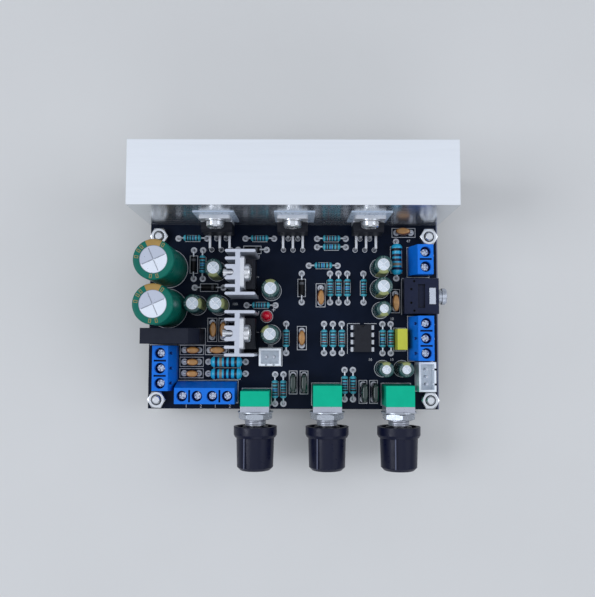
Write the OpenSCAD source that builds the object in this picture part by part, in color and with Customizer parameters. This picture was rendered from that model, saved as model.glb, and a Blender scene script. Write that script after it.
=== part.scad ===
// Audio amplifier board: a black circuit board on four standoffs, with a rear heatsink,
// three power chips, two regulators, screw terminals, an audio jack and three knobs.
// Millimetres. The origin is the centre of the four standoffs, at their feet.
// +X is the side with the jack, +Y the side with the heatsink, and +Z is up.

/* [Board] */
// Spacing of the fixing holes from left to right
hole_span_x = 95; // [95:0.5:106]
// Spacing of the fixing holes from front to rear
hole_span_y = 57.2; // [57.2:0.2:64]
// Fixing hole to the nearest side edge
side_margin = 3.3; // [3.3:0.1:5]
// Fixing hole to the front edge
front_margin = 3.2; // [3.2:0.1:5]
// Thickness of the board
board_t = 1.6; // [1:0.1:2.4]
// Diameter of the fixing holes
fixing_hole_d = 3.2; // [3.1:0.1:3.4]
// Diameter of the holes for thin leads
lead_hole_d = 0.9; // [0.85:0.05:1.1]
// Diameter of the holes for thick pins
pin_hole_d = 1.4; // [1.35:0.05:1.5]
// Width of the copper ring round a hole
land_w = 0.65; // [0.3:0.05:0.7]
// Thickness of the tinned copper rings
land_t = 0.06; // [0.03:0.01:0.12]
// Height of the solder cones under the board
solder_h = 1.2; // [0.6:0.1:1.8]

/* [Standoffs] */
// Height of the standoffs
standoff_h = 10; // [6:1:25]
// Standoffs and their nuts across the flats
standoff_af = 5.5; // [5:0.1:5.5]
// Diameter of the stud above each standoff
stud_d = 3; // [2.8:0.05:3]
// Thickness of the nuts
nut_h = 2.4; // [1.8:0.1:3]
// Length of the stud past its nut
stud_end = 0.3; // [0.2:0.1:3]
// Diameter of the tapped hole in each foot
tap_d = 2.5; // [2:0.1:3]
// Depth of the tapped hole in each foot
tap_depth = 5; // [3:0.5:5.5]

/* [Heatsink] */
// Width of the heatsink
sink_w = 102; // [96:1:120]
// Depth of the heatsink
sink_d = 20.3; // [16:0.1:30]
// Height of the heatsink
sink_h = 36; // [30:0.5:50]
// Rear fixing holes to the heatsink's face
sink_gap = 4.3; // [4.3:0.1:8]
// Thickness of the upright plate that the chips are screwed to
sink_plate_t = 5; // [4:0.5:7]
// Thickness of a fin
fin_t = 1.8; // [1:0.1:3]
// Number of fins, with the foot
fin_count = 7; // [5:1:9]
// Thickness of the foot on the board
foot_t = 4; // [3:0.5:5]
// Spacing of the two screws that hold the heatsink
sink_screw_span = 76; // [60:1:90]

/* [Chip packages] */
// Width of a package and its tab
package_w = 10.2; // [9.6:0.1:11]
// Height of a package's plastic body
package_h = 9.2; // [8.4:0.1:10]
// Thickness of a package with its tab
package_t = 4.5; // [4:0.1:5]
// Height of a package's metal tab
tab_h = 15.6; // [15:0.1:16.4]
// Thickness of the tab
tab_t = 1.3; // [1:0.1:1.6]
// Cut of the tab's upper corners
tab_cut = 0.5; // [0.5:0.1:2]
// Diameter of the tab's hole
tab_hole_d = 3.7; // [3.4:0.1:4]
// Tab's top edge to its hole
tab_hole_drop = 2.8; // [2.6:0.1:3.1]
// Width of a package's leads
package_lead_w = 0.8; // [0.6:0.05:0.85]
// Thickness of a package's leads
package_lead_t = 0.5; // [0.4:0.05:0.6]

/* [Power chips] */
// Spacing of the three power chips
chip_pitch = 25.4; // [24.6:0.1:27]
// Board to the bottom of a power chip's body
chip_lift = 6.2; // [5.6:0.1:8]
// Spacing of a power chip's five leads
chip_lead_pitch = 1.7; // [1.65:0.05:1.8]
// Heatsink's face to the rear row of leads
chip_rear_row = 4.8; // [4.6:0.1:5.2]
// Rear row of leads to the front row
chip_row_gap = 4; // [3.6:0.1:4.4]
// Width of the insulating pads
insulator_w = 13.2; // [12:0.2:15]
// Height of the insulating pads
insulator_h = 18; // [17.6:0.2:20]
// Thickness of the insulating pads
insulator_t = 0.3; // [0.2:0.05:0.5]
// Lower edge of the pads below the packages' tops
insulator_drop = 14.2; // [13:0.1:15]

/* [Regulators] */
// Length of a regulator's heatsink
reg_sink_l = 15; // [14:0.1:15.2]
// Depth of a regulator's heatsink
reg_sink_w = 10; // [9.4:0.1:10.2]
// Height of a regulator's heatsink
reg_sink_h = 20; // [18:0.5:25]
// Thickness of its upright web
reg_web_t = 1.6; // [1.2:0.1:2]
// Web to the tips of the short fins
reg_fin_l = 3.4; // [3:0.1:3.6]
// Thickness of its fins
reg_fin_t = 1; // [0.8:0.05:1]
// Spacing of the middle fins, on both sides of the screw's boss
reg_channel = 4; // [4:0.05:4.4]
// Width of the slot that its screw is tapped into
reg_slot_w = 2.2; // [1.8:0.1:2.6]
// Spacing of a regulator's three leads
reg_lead_pitch = 2.54; // [2.4:0.02:2.7]

/* [Screws] */
// Thread diameter of the board's screws
screw_d = 2.9; // [2.5:0.05:2.9]
// Diameter of a screw head
screw_head_d = 5.9; // [5:0.1:6]
// Height of a screw head
screw_head_h = 2.1; // [1.6:0.1:2.6]
// Diameter of the power chips' washers
washer_d = 7; // [6:0.1:7.4]
// Thickness of the washers
washer_t = 0.5; // [0.3:0.1:0.8]
// Gap between a washer and the plastic body below it
washer_gap = 0.1; // [0.05:0.05:0.4]
// Length of a power chip's screw below its head
chip_screw_l = 6; // [5:0.5:6.5]
// Length of a regulator's screw below its head
reg_screw_l = 7; // [5:0.5:8]
// Length of a heatsink screw below its head
sink_screw_l = 5; // [4:0.1:5.4]
// Radial gap round a screw
screw_gap = 0.05; // [0.03:0.01:0.1]

/* [Axial parts] */
// Spacing of an axial part's holes
axial_pitch = 10.16; // [10.16:0.02:10.6]
// Length of a resistor's body
resistor_l = 6.3; // [5.6:0.1:6.8]
// Diameter of a resistor's rounded ends
resistor_d = 2.3; // [2:0.05:2.6]
// Diameter of a resistor between its ends
resistor_core_d = 1.85; // [1.6:0.05:1.95]
// Spacing of a power resistor's holes
power_resistor_pitch = 13.1; // [13:0.1:13.4]
// Length of a power resistor's body
power_resistor_l = 11; // [9.8:0.1:11]
// Diameter of a power resistor's rounded ends
power_resistor_d = 3.9; // [3.4:0.05:3.9]
// Diameter of a power resistor between its ends
power_resistor_core_d = 3.2; // [2.8:0.05:3.35]
// Length of a diode's body
diode_l = 5.2; // [4.6:0.1:5.6]
// Diameter of a diode's body
diode_d = 1.9; // [1.8:0.05:2.8]
// Diameter of the leads
lead_d = 0.6; // [0.5:0.02:0.7]
// Bend radius of the leads
bend_r = 0.8; // [0.6:0.05:0.9]

/* [Capacitors] */
// Diameter of the two filter capacitors
filter_d = 13.2; // [12:0.1:13.6]
// Height of the two filter capacitors
filter_h = 26; // [20:0.5:30]
// Width of a filter capacitor's sleeve over its top
filter_lip = 2.1; // [1.4:0.1:2.6]
// Spacing of a filter capacitor's leads
filter_pitch = 5; // [4.6:0.1:7.5]
// Diameter of the small electrolytic capacitors
small_d = 6.3; // [6:0.1:6.6]
// Height of the small electrolytic capacitors
small_h = 12; // [10:0.5:14]
// Diameter of the slim electrolytic capacitors
slim_d = 5.2; // [4.6:0.1:5.4]
// Width of a small capacitor's sleeve over its top
small_lip = 1.1; // [0.7:0.05:1.3]
// Spacing of a small capacitor's leads
small_pitch = 2.5; // [2.3:0.1:2.8]
// Thickness of the plastic sleeves
sleeve_t = 0.2; // [0.12:0.02:0.3]
// Corner radius of the aluminium cans
can_round = 0.5; // [0.3:0.05:0.6]
// Depth of the pressure score on a can's top
score_depth = 0.15; // [0.08:0.01:0.25]
// Spacing of the leads of ceramic and film capacitors
disc_pitch = 5.08; // [4.9:0.02:5.2]
// Width of a ceramic capacitor
ceramic_w = 4.2; // [3.8:0.1:4.8]
// Thickness of a ceramic capacitor
ceramic_t = 2.7; // [2.3:0.1:3]
// Height of a ceramic capacitor's body
ceramic_h = 4.6; // [4:0.1:6]
// Width of a film capacitor
film_w = 5.2; // [4.8:0.1:6]
// Thickness of a film capacitor
film_t = 3; // [2.4:0.1:3.1]
// Height of a film capacitor's body
film_h = 7; // [6:0.1:8]
// Board to the body of ceramic and film capacitors
disc_lift = 1.6; // [1.4:0.1:2.2]
// Length of the box capacitor
box_l = 7.2; // [6.8:0.1:7.6]
// Thickness of the box capacitor
box_t = 3.4; // [3:0.1:3.6]
// Height of the box capacitor
box_h = 7.5; // [6.5:0.1:9]

/* [Bridge rectifier] */
// Width of the bridge rectifier
bridge_w = 19.2; // [18.8:0.1:19.4]
// Thickness of the bridge rectifier
bridge_t = 5.2; // [4.8:0.1:5.6]
// Height of the bridge rectifier's body
bridge_h = 14.6; // [13:0.2:16]
// Size of its cut corner
bridge_cut = 3.4; // [2.5:0.1:4.5]
// Board to the bottom of the bridge rectifier
bridge_lift = 1.4; // [1:0.1:2]
// Spacing of its four leads
bridge_pitch = 5.08; // [4.8:0.02:5.2]

/* [Small chip and lamp] */
// Width of the small chip's body
dip_w = 6.4; // [6:0.1:6.6]
// Length of the small chip's body
dip_l = 9.4; // [9.2:0.1:9.8]
// Thickness of the small chip's body
dip_h = 3.3; // [3:0.1:3.6]
// Board to the small chip's body
dip_lift = 0.5; // [0.3:0.1:0.9]
// Spacing of the small chip's two rows of pins
dip_row_gap = 7.62; // [7.5:0.02:7.8]
// Spacing of the small chip's pins along a row
dip_pitch = 2.54; // [2.5:0.02:2.6]
// Diameter of the indicator lamp
lamp_d = 3; // [2.8:0.1:3.2]
// Height of the indicator lamp
lamp_h = 4.6; // [4:0.1:5.4]
// Diameter of the lamp's flange
lamp_flange_d = 3.8; // [3.5:0.1:4]
// Height of the lamp's flange
lamp_flange_h = 1; // [0.8:0.1:1.2]

/* [Headers] */
// Spacing of a header's pins
header_pitch = 2.54; // [2.48:0.02:2.6]
// End pin to the end of the housing
header_end = 2.5; // [2.3:0.1:2.6]
// Depth of a header's housing
header_w = 5.9; // [5.6:0.1:6.2]
// Height of a header's housing
header_h = 7; // [6.5:0.1:8]
// Thickness of its walls
header_wall = 0.7; // [0.5:0.05:0.9]
// Thickness of its floor
header_floor = 1.6; // [1.2:0.1:2.2]
// Side of a square header pin
header_pin = 0.64; // [0.5:0.02:0.7]
// Rim to the tips of the pins
header_pin_drop = 1; // [0.5:0.1:2]

/* [Audio jack] */
// Length of the jack's body
jack_l = 11.9; // [11.4:0.1:12]
// Width of the jack's body
jack_w = 12.2; // [11.6:0.1:12.4]
// Height of the jack's body
jack_h = 6.2; // [6:0.1:7]
// Board to the jack's axis
jack_axis_h = 3.1; // [3.05:0.05:3.15]
// Diameter of the jack's bore
jack_bore_d = 3.6; // [3.5:0.05:3.8]
// Outside diameter of the barrel
barrel_d = 4.9; // [4.6:0.1:5]
// Diameter of the barrel's lip and inner flange
barrel_lip_d = 5.7; // [5.4:0.1:5.8]
// Length of the barrel outside the body
barrel_out = 3; // [2.4:0.1:4]
// Length of the lip
barrel_lip_l = 1.6; // [1:0.1:1.8]
// Length of the inner flange
barrel_flange_l = 2.2; // [1.6:0.1:2.4]
// Thickness of the body's front wall
jack_wall = 1; // [0.8:0.1:1.4]

/* [Tone controls] */
// Spacing of the three controls
pot_pitch = 24.3; // [24:0.1:26]
// Width of a control's body
pot_w = 9.6; // [9.2:0.1:10]
// Height of a control's body
pot_h = 11.6; // [11.2:0.1:12.4]
// Board to the controls' axes
pot_axis_h = 6.5; // [6.4:0.1:6.7]
// Depth of the single control's body
pot_single_d = 5.1; // [4.6:0.1:6]
// Depth of a twin control's body
pot_twin_d = 7; // [6.5:0.1:7.2]
// Thickness of a control's metal front
pot_front_t = 1.9; // [1.5:0.1:2.4]
// Diameter of the threaded bushing
bushing_d = 7; // [6.8:0.1:7.2]
// Length of the threaded bushing
bushing_l = 4.6; // [4:0.1:7]
// Thickness of the control's nut
pot_nut_h = 2.2; // [1.6:0.1:2.6]
// Control's nut across the flats
pot_nut_af = 9.8; // [9.2:0.1:10.2]
// Diameter of the control's washer
pot_washer_d = 12; // [10.6:0.1:12.2]
// Thickness of the control's washer
pot_washer_t = 0.5; // [0.3:0.1:0.8]
// Diameter of the shafts
shaft_d = 6; // [5.6:0.1:6.1]
// Length of a shaft past the bushing
shaft_out = 10.5; // [8:0.5:13]
// Depth of the flat on a shaft
shaft_flat = 1.5; // [1:0.1:1.8]
// Length of a shaft inside the body
shaft_in = 2.6; // [1.5:0.1:3.4]
// Radial gap round a shaft in its bushing
shaft_gap = 0.05; // [0.03:0.01:0.1]

/* [Knobs] */
// Diameter of a knob's skirt
skirt_d = 14.6; // [13.6:0.1:15.6]
// Length of a knob's skirt
skirt_l = 3.6; // [3:0.1:4.5]
// Diameter of a knob at its skirt
knob_d = 12.8; // [12:0.1:13.2]
// Diameter of a knob at its end
knob_end_d = 12.2; // [11.4:0.1:12.4]
// Length of a knob
knob_l = 14.5; // [14:0.1:18]
// Rounding of a knob's end
knob_round = 1; // [0.5:0.1:1.5]
// Width of the pointer rib
rib_w = 0.8; // [0.5:0.1:1.2]
// Height of the pointer rib
rib_h = 0.35; // [0.2:0.05:0.5]
// Bushing to the knob
knob_gap = 0.4; // [0.3:0.1:1]
// Depth of the hollow behind a knob
hollow_depth = 2.4; // [1.6:0.1:3]
// Wall of a knob's skirt round that hollow
skirt_wall = 1.2; // [0.9:0.1:1.5]
// Wall of the hub round the shaft
hub_wall = 1.3; // [1:0.1:1.6]

/* [Screw terminals] */
// Side edges to the rows of screws beside them
terminal_inset = 5.9; // [5.6:0.1:6.2]
// Front edge to the speaker terminals' screws
speaker_inset = 5; // [4.6:0.1:5.2]
// Board's centre to the middle of the speaker terminals
speaker_shift = 29.8; // [29:0.1:30.4]
// Spacing of the poles
terminal_pitch = 5.08; // [5:0.02:5.1]
// Height of the housings
terminal_h = 10; // [9.4:0.1:11]
// Screw axis to the wire side
terminal_front = 2.65; // [2.6:0.05:2.8]
// Screw axis to the far side
terminal_rear = 4.6; // [4.4:0.1:4.8]
// Screw axis to the top of the slope
terminal_crest = 2.75; // [2.5:0.05:2.9]
// Height of the foot of the slope
slope_foot = 3.6; // [2:0.1:5]
// Diameter of the screw wells
well_d = 3.6; // [3.4:0.05:3.65]
// Width of the groove between two poles
divider_w = 0.6; // [0.4:0.05:0.8]
// Length of the groove between two poles
divider_l = 4.1; // [3.6:0.1:4.6]
// Depth of the groove between two poles
divider_depth = 1.6; // [0.8:0.1:2.4]
// Diameter of the small hole in the slope beside each screw of a three pole housing
slope_hole_d = 1; // [0.6:0.1:1.2]
// Width of a contact's chamber
chamber_w = 4.1; // [3.9:0.05:4.15]
// Depth of a contact's chamber
chamber_d = 5; // [4.8:0.1:5.2]
// Height of a contact's chamber
chamber_h = 6.4; // [6:0.1:6.8]
// Thickness of the wall at the wire side
entry_wall = 0.8; // [0.6:0.1:1]
// Width of a wire entry
entry_w = 3; // [2.6:0.1:3.2]
// Height of a wire entry
entry_h = 3.4; // [3:0.1:3.6]
// Thickness of a contact's floor
contact_floor = 1.2; // [1:0.1:1.5]
// Gap round a contact in its chamber
contact_gap = 0.05; // [0.03:0.01:0.1]
// Diameter of a contact's pin
contact_pin_d = 1; // [0.8:0.05:1.1]
// Diameter of a terminal screw's thread
terminal_thread_d = 2.4; // [2.2:0.05:2.5]
// Diameter of a terminal screw's head
terminal_head_d = 2.8; // [2.8:0.05:3.1]
// Height of a terminal screw's head
terminal_head_h = 1.2; // [1.2:0.1:1.9]
// Length of a terminal screw below its head
terminal_screw_l = 3.3; // [2.6:0.1:4]
// Contact to the screw's head
terminal_head_lift = 0.3; // [0.2:0.05:0.6]

/* [Hidden] */
$fn = 48;
// Overlap of a cut past the face that it opens
eps = 0.01;
// Gap under a round body on the board, and between two pieces of hardware
seat_gap = 0.05;
// Gap between a capacitor's can and its sleeve
sleeve_gap = 0.02;
// Round face of a nut as a share of its flats, and the bevel of its corners
nut_face = 0.95;
nut_bevel = 0.4;
nut_bevel_angle = 22;
// Bevel of a stud's end and of the hole in its nut
stud_bevel = 0.4;
// Turn of the score on the filter capacitors and on the small ones
filter_score_turn = 24;
small_score_turn = 45;
// Rounding of a pan head as a share of its height
pan_round = 0.45;
// Ends of a dipped capacitor as a share of its thickness, and its round corners as one of its width
disc_tip = 0.4;
disc_round = 0.28;
// Pin of the small chip at its shoulder, as a share of the pins' spacing
dip_shoulder = 0.6;
// Jack's front to its two pairs of pins and its last pin, and the pairs' spacing
jack_pin_rows = [3.6, 8.4];
jack_last_pin = 10.8;
jack_pin_span = 8.6;
// Holes over the jack's contacts: their diameter, and each pair behind its front and off its middle
jack_sight_d = 0.8;
jack_sights_at = [[9.5, 2.35], [8.5, 5.1]];
// Control's body to its first row of pins, from row to row, and along a row
pot_first_row = 2.5;
pot_gang_pitch = 3;
pot_pin_pitch = 2.5;
// Control's middle one to the board's centre, and the middle power chip's
pot_shift = 11.5;
chip_shift = -0.3;

// Levels and edges
top_z = standoff_h + board_t;
edge_x = hole_span_x / 2 + side_margin;
edge_y = hole_span_y / 2 + front_margin;
sink_y = hole_span_y / 2 + sink_gap;
rear_y = sink_y + sink_d;

// Places measured from the left and right edges, the front edge and the heatsink
function left(d) = d - edge_x;
function right(d) = edge_x - d;
function front(d) = d - edge_y;
function rear(d) = sink_y - d;

// Layout of the board: [x, y, turn] of each part, and 0 turn is along X
fixings_at = [for (x = [-1, 1], y = [-1, 1]) [x * hole_span_x / 2, y * hole_span_y / 2, 0]];
sink_screws_at = [for (side = [-1, 1]) [side * sink_screw_span / 2, sink_y + sink_d / 2, 0]];
chips_at = [for (i = [-1:1]) [i * chip_pitch + chip_shift, sink_y, 0]];
regulators_at = [[-17.3, 14.1, 0], [-17.3, -5.9, 0]];
resistors_at = [
    [-35.9, rear(4.8), 0], [-12.1, rear(4.8), 0], [13.3, rear(4.8), 0], [13.3, rear(7.8), 0],
    [10.4, 18.5, 0], [-11.5, 4.4, 0], [-32.2, 18.8, 90],
    [12.8, 10.6, 90], [15.8, 10.6, 90], [18.9, 10.6, 90], [24.6, 10.6, 90],
    [-2.6, -7.2, 90], [10.7, -7.2, 90], [13.8, -7.2, 90], [16.9, -7.2, 90],
    [31.2, -7.2, 90], [34.1, -7.2, 90],
    [17.9, -23.3, 90], [20.8, -23.3, 90], [-6.4, -24.9, 90], [-3.5, -24.9, 90]
];
power_resistors_at = [[-23.3, -15.5, 0], [-23.3, -19.6, 0], [36.2, 20.6, 90]];
diodes_at = [[-35.4, 18.8, 90], [-29.9, 10.6, 0], [2.8, 10.6, 90], [-14.7, 24.1, 0]];
filters_at = [[left(6.4), 17.4, 0], [left(6.4), 3.2, 0]];
smalls_at = [
    [-27.1, 16.4, 0], [-34, 4.3, 0], [-26.2, 4.3, 0], [-7.8, 9.5, 90], [-7.9, -5.9, 90],
    [30.4, 17.6, 0], [30.4, 10.3, 0]
];
slims_at = [[30.5, 2.7, 0], [31.2, -17.7, 0], [37.9, -17.7, 0]];
ceramics_at = [
    [38.9, rear(2.6), 0], [9.5, 8, 90], [35.8, 6, 90], [-28.6, -4.3, 90], [-24.7, -4.3, 90],
    [-35.7, -11.4, 0], [-35.7, -15.5, 0], [-35.7, -19.5, 0], [-26.9, -11.4, 0], [2.9, -7.1, 90]
];
films_at = [[-0.1, -22.6, 90], [3.7, -22.6, 90], [24.3, -25.8, 90], [28, -25.8, 90]];
box_at = [[37.2, -7.5, 90]];
bridge_at = [[left(9.9), -6.7, 0]];
dip_at = [[24, -7.2, 0]];
lamp_at = [[-9.5, 0.5, 0]];
two_pin_at = [[-8, -13.7, 0]];
three_pin_at = [[right(5.1), -20.3, 90]];
jack_at = [[right(0.8), 7.4, 0]];
pots_at = [for (i = [-1:1]) [i * pot_pitch + pot_shift, front(-0.2), 0]];
// Body depth of each control, from left to right
pot_depths = [pot_single_d, pot_twin_d, pot_twin_d];
// Turn of each knob's pointer from the top, from left to right
knob_turns = [30, 31, 17];
// Place and number of poles of each screw terminal
supply_at = [[left(terminal_inset), -17.5, -90]];
left_speaker_at = [[-speaker_shift - terminal_pitch, front(speaker_inset), 0]];
right_speaker_at = [[-speaker_shift + terminal_pitch, front(speaker_inset), 0]];
third_speaker_at = [[right(terminal_inset), 19.7, 90]];
input_at = [[right(terminal_inset), -7.2, 90]];
terminals = [
    [supply_at, 3], [left_speaker_at, 2], [right_speaker_at, 2], [third_speaker_at, 2], [input_at, 3]
];

// Sizes that follow from the ones above
hex = 1 / cos(30);
stud_h = board_t + nut_h + stud_end;
chip_y = insulator_t + package_t;
tab_top = package_h + washer_gap + washer_d / 2 + tab_hole_drop;
chip_hole_z = chip_lift + tab_top - tab_hole_drop;
tap_gap_d = screw_d + 2 * screw_gap;
reg_lift = reg_sink_h - tab_top;
reg_hole_z = reg_sink_h - tab_hole_drop;
resistor_z = resistor_d / 2 + seat_gap;
power_resistor_z = power_resistor_d / 2 + seat_gap;
diode_z = diode_d / 2 + seat_gap;
shaft_hole_r = shaft_d / 2 + shaft_gap;
terminal_head_z = chamber_h + terminal_head_lift;
jack_front = -jack_wall;

// Runs its children at each place of a layout
module placed(layout) {
    for (place = layout)
        translate([place[0], place[1], 0])
            rotate(place[2])
                children();
}

// Runs its children at each place of a layout, on the board's top face
module on_board(layout) {
    translate([0, 0, top_z])
        placed(layout)
            children();
}

// Runs its children at a row of points along X
module row(count, pitch) {
    for (i = [0:count - 1])
        translate([(i - (count - 1) / 2) * pitch, 0, 0])
            children();
}

// Runs its children at the holes of leads whose copper rings show
module at_thin_leads() {
    placed(concat(resistors_at, diodes_at)) row(2, axial_pitch) children();
    placed(power_resistors_at) row(2, power_resistor_pitch) children();
    placed(concat(ceramics_at, films_at)) row(2, disc_pitch) children();
}

// Runs its children at the holes of the small chip's pins
module at_chip_pins() {
    placed(dip_at) row(2, dip_row_gap) rotate(90) row(4, dip_pitch) children();
}

// Runs its children at the holes of the power chips' and regulators' leads
module at_package_leads() {
    placed(chips_at) {
        translate([0, -chip_rear_row, 0]) row(2, 2 * chip_lead_pitch) children();
        translate([0, -chip_rear_row - chip_row_gap, 0]) row(3, 2 * chip_lead_pitch) children();
    }
    placed(regulators_at)
        translate([package_t - tab_t - package_lead_t, 0, 0])
            rotate(90)
                row(3, reg_lead_pitch) children();
}

// Runs its children at the holes of thin leads under a capacitor, lamp or box
module at_hidden_leads() {
    placed(filters_at) row(2, filter_pitch) children();
    placed(concat(smalls_at, slims_at)) row(2, small_pitch) children();
    placed(box_at) row(2, disc_pitch) children();
    placed(lamp_at) rotate(90) row(2, small_pitch) children();
}

// Runs its children at the holes of thick pins under a housing
module at_pins() {
    placed(bridge_at) row(4, bridge_pitch) children();
    placed(two_pin_at) row(2, header_pitch) children();
    placed(three_pin_at) row(3, header_pitch) children();
    for (terminal = terminals)
        placed(terminal[0]) row(terminal[1], terminal_pitch) children();
    at_jack_pins() children();
    at_pot_pins() children();
}

// Runs its children at the holes of the jack's five pins
module at_jack_pins() {
    placed(jack_at) {
        for (side = [-1, 1], back = jack_pin_rows)
            translate([-back, side * jack_pin_span / 2, 0])
                children();
        translate([-jack_last_pin, 0, 0])
            children();
    }
}

// Runs its children at the holes of the controls' pins, one row for each gang
module at_pot_pins() {
    for (i = [0:2])
        placed([pots_at[i]])
            for (y = [pot_first_row:pot_gang_pitch:pot_depths[i]])
                translate([0, pot_front_t + y, 0])
                    row(3, pot_pin_pitch) children();
}

// Board with its fixing holes and every lead's hole
module circuit_board() {
    color("#15161a")
        translate([0, 0, standoff_h])
            linear_extrude(board_t)
                difference() {
                    translate([-edge_x, -edge_y])
                        square([2 * edge_x, edge_y + rear_y]);
                    placed(fixings_at) circle(d = fixing_hole_d);
                    placed(sink_screws_at) circle(d = fixing_hole_d);
                    at_thin_leads() circle(d = lead_hole_d);
                    at_chip_pins() circle(d = lead_hole_d);
                    at_hidden_leads() circle(d = lead_hole_d);
                    at_package_leads() circle(d = pin_hole_d);
                    at_pins() circle(d = pin_hole_d);
                }
}

// Tinned copper rings that show on the top face
module solder_lands() {
    color("gainsboro")
        translate([0, 0, top_z])
            linear_extrude(land_t) {
                at_thin_leads() land(lead_hole_d, land_w);
                at_package_leads() land(pin_hole_d, land_w / 3);
            }
}

// Ring of copper round a hole
module land(hole_d, width) {
    difference() {
        circle(d = hole_d + 2 * width);
        circle(d = hole_d);
    }
}

// Solder cones that close each hole under the board
module solder_joints() {
    color("silver") {
        at_thin_leads() solder_cone(lead_hole_d);
        at_chip_pins() solder_cone(lead_hole_d);
        at_hidden_leads() solder_cone(lead_hole_d);
        at_package_leads() solder_cone(pin_hole_d);
        at_pins() solder_cone(pin_hole_d);
    }
}

// Solder cone under a hole
module solder_cone(hole_d) {
    translate([0, 0, standoff_h - solder_h])
        cylinder(d1 = hole_d / 2, d2 = hole_d + land_w / 3, h = solder_h);
}

// Hexagonal standoffs, tapped below and with a stud through the board
module standoffs() {
    color("silver")
        placed(fixings_at)
            difference() {
                union() {
                    cylinder(d = standoff_af * hex, h = standoff_h, $fn = 6);
                    cylinder(d = stud_d, h = standoff_h + stud_h - stud_bevel);
                    translate([0, 0, standoff_h + stud_h - stud_bevel])
                        cylinder(d1 = stud_d, d2 = stud_d - 2 * stud_bevel, h = stud_bevel);
                }
                translate([0, 0, -eps])
                    cylinder(d = tap_d, h = tap_depth + eps);
            }
}

// Hexagonal nuts on the studs
module standoff_nuts() {
    hole_d = stud_d + 2 * screw_gap;
    color("silver")
        on_board(fixings_at)
            difference() {
                intersection() {
                    cylinder(d = standoff_af * hex, h = nut_h, $fn = 6);
                    nut_envelope(standoff_af, nut_h);
                }
                translate([0, 0, -eps])
                    cylinder(d = hole_d, h = nut_h + 2 * eps);
                translate([0, 0, nut_h - stud_bevel])
                    cylinder(d1 = hole_d, d2 = hole_d + 2 * stud_bevel, h = stud_bevel + eps);
            }
}

// Disc with bevelled edges, which trims the corners of a nut
module nut_envelope(af, h) {
    face_r = af / 2 * nut_face;
    corner_r = af / 2 * hex + nut_bevel;
    drop = (corner_r - face_r) * tan(nut_bevel_angle);
    rotate_extrude()
        polygon([
            [0, 0], [face_r, 0], [corner_r, drop], [corner_r, h - drop], [face_r, h], [0, h]
        ]);
}

// Comb of level fins behind an upright plate, with a thick foot on the board
module heatsink() {
    fin_gap = (sink_h - foot_t - fin_t) / (fin_count - 1);
    color("lightgray")
        difference() {
            translate([0, sink_y, top_z])
                rotate([90, 0, 90])
                    linear_extrude(sink_w, center = true) {
                        square([sink_plate_t, sink_h]);
                        square([sink_d, foot_t]);
                        for (i = [1:fin_count - 1])
                            translate([0, foot_t + i * fin_gap])
                                square([sink_d, fin_t]);
                    }
            on_board(chips_at)
                translate([0, sink_plate_t + eps, chip_hole_z])
                    rotate([90, 0, 0])
                        cylinder(d = tap_gap_d, h = sink_plate_t + 2 * eps);
            on_board(sink_screws_at)
                translate([0, 0, -eps])
                    cylinder(d = tap_gap_d, h = foot_t + 2 * eps);
        }
}

// Screw with a pan head above the origin, its cross recess and its shank below
module pan_screw(shank_l) {
    difference() {
        rotate_extrude()
            can_outline(screw_head_d / 2, screw_head_h, screw_head_h * pan_round);
        for (turn = [0, 90])
            rotate(turn)
                translate([-screw_head_d / 4, -screw_head_d / 16, screw_head_h / 2])
                    cube([screw_head_d / 2, screw_head_d / 8, screw_head_h]);
    }
    translate([0, 0, -shank_l])
        cylinder(d = screw_d, h = shank_l);
}

// Two screws from below that hold the heatsink to the board
module heatsink_screws() {
    color("silver")
        placed(sink_screws_at)
            translate([0, 0, standoff_h])
                rotate([180, 0, 0])
                    pan_screw(sink_screw_l);
}

// Insulating pads between the power chips and the heatsink, each a little askew
module insulator_pads() {
    shifts = [0.3, 0.6, -0.2];
    tilts = [-0.8, 0.5, 1];
    color("lightsteelblue")
        for (i = [0:2])
            on_board([chips_at[i]])
                translate([shifts[i], 0, chip_lift + tab_top - insulator_drop])
                    rotate([90, tilts[i], 0])
                        linear_extrude(insulator_t)
                            difference() {
                                translate([-insulator_w / 2, 0])
                                    square([insulator_w, insulator_h]);
                                rotate(tilts[i])
                                    translate([-shifts[i], insulator_drop - tab_hole_drop])
                                        circle(d = tab_hole_d);
                            }
}

// Screws and washers that hold the power chips
module chip_screws() {
    color("silver")
        on_board(chips_at)
            translate([0, -insulator_t - tab_t, chip_hole_z])
                rotate([90, 0, 0]) {
                    difference() {
                        cylinder(d = washer_d, h = washer_t);
                        translate([0, 0, -eps])
                            cylinder(d = tap_gap_d, h = washer_t + 2 * eps);
                    }
                    translate([0, 0, washer_t + seat_gap])
                        pan_screw(chip_screw_l);
                }
}

// Plastic body of a package, seen from its front: bevelled edges and a pin mark
module package_body() {
    depth = package_t - tab_t;
    bevel = depth / 4;
    difference() {
        translate([-package_w / 2, 0, 0])
            rotate([90, 0, 90])
                linear_extrude(package_w)
                    polygon([
                        [0, 0], [0, package_h], [bevel - depth, package_h], [-depth, package_h - bevel],
                        [-depth, bevel / 2], [bevel / 2 - depth, 0]
                    ]);
        translate([-package_w / 3, eps - depth, package_h / 2])
            rotate([90, 0, 0])
                cylinder(d = package_w / 8, h = bevel / 2, center = true);
    }
}

// Metal tab of a package with its hole, cut corners and side notches
module package_tab() {
    notch = package_w / 16;
    rotate([90, 0, 0])
        linear_extrude(tab_t)
            difference() {
                polygon([
                    [-package_w / 2, tab_top - tab_h], [package_w / 2, tab_top - tab_h],
                    [package_w / 2, tab_top - tab_cut], [package_w / 2 - tab_cut, tab_top],
                    [tab_cut - package_w / 2, tab_top], [-package_w / 2, tab_top - tab_cut]
                ]);
                translate([0, tab_top - tab_hole_drop])
                    circle(d = tab_hole_d);
                for (side = [-1, 1])
                    translate([side * package_w / 2, package_h + notch])
                        circle(r = notch);
            }
}

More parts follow.
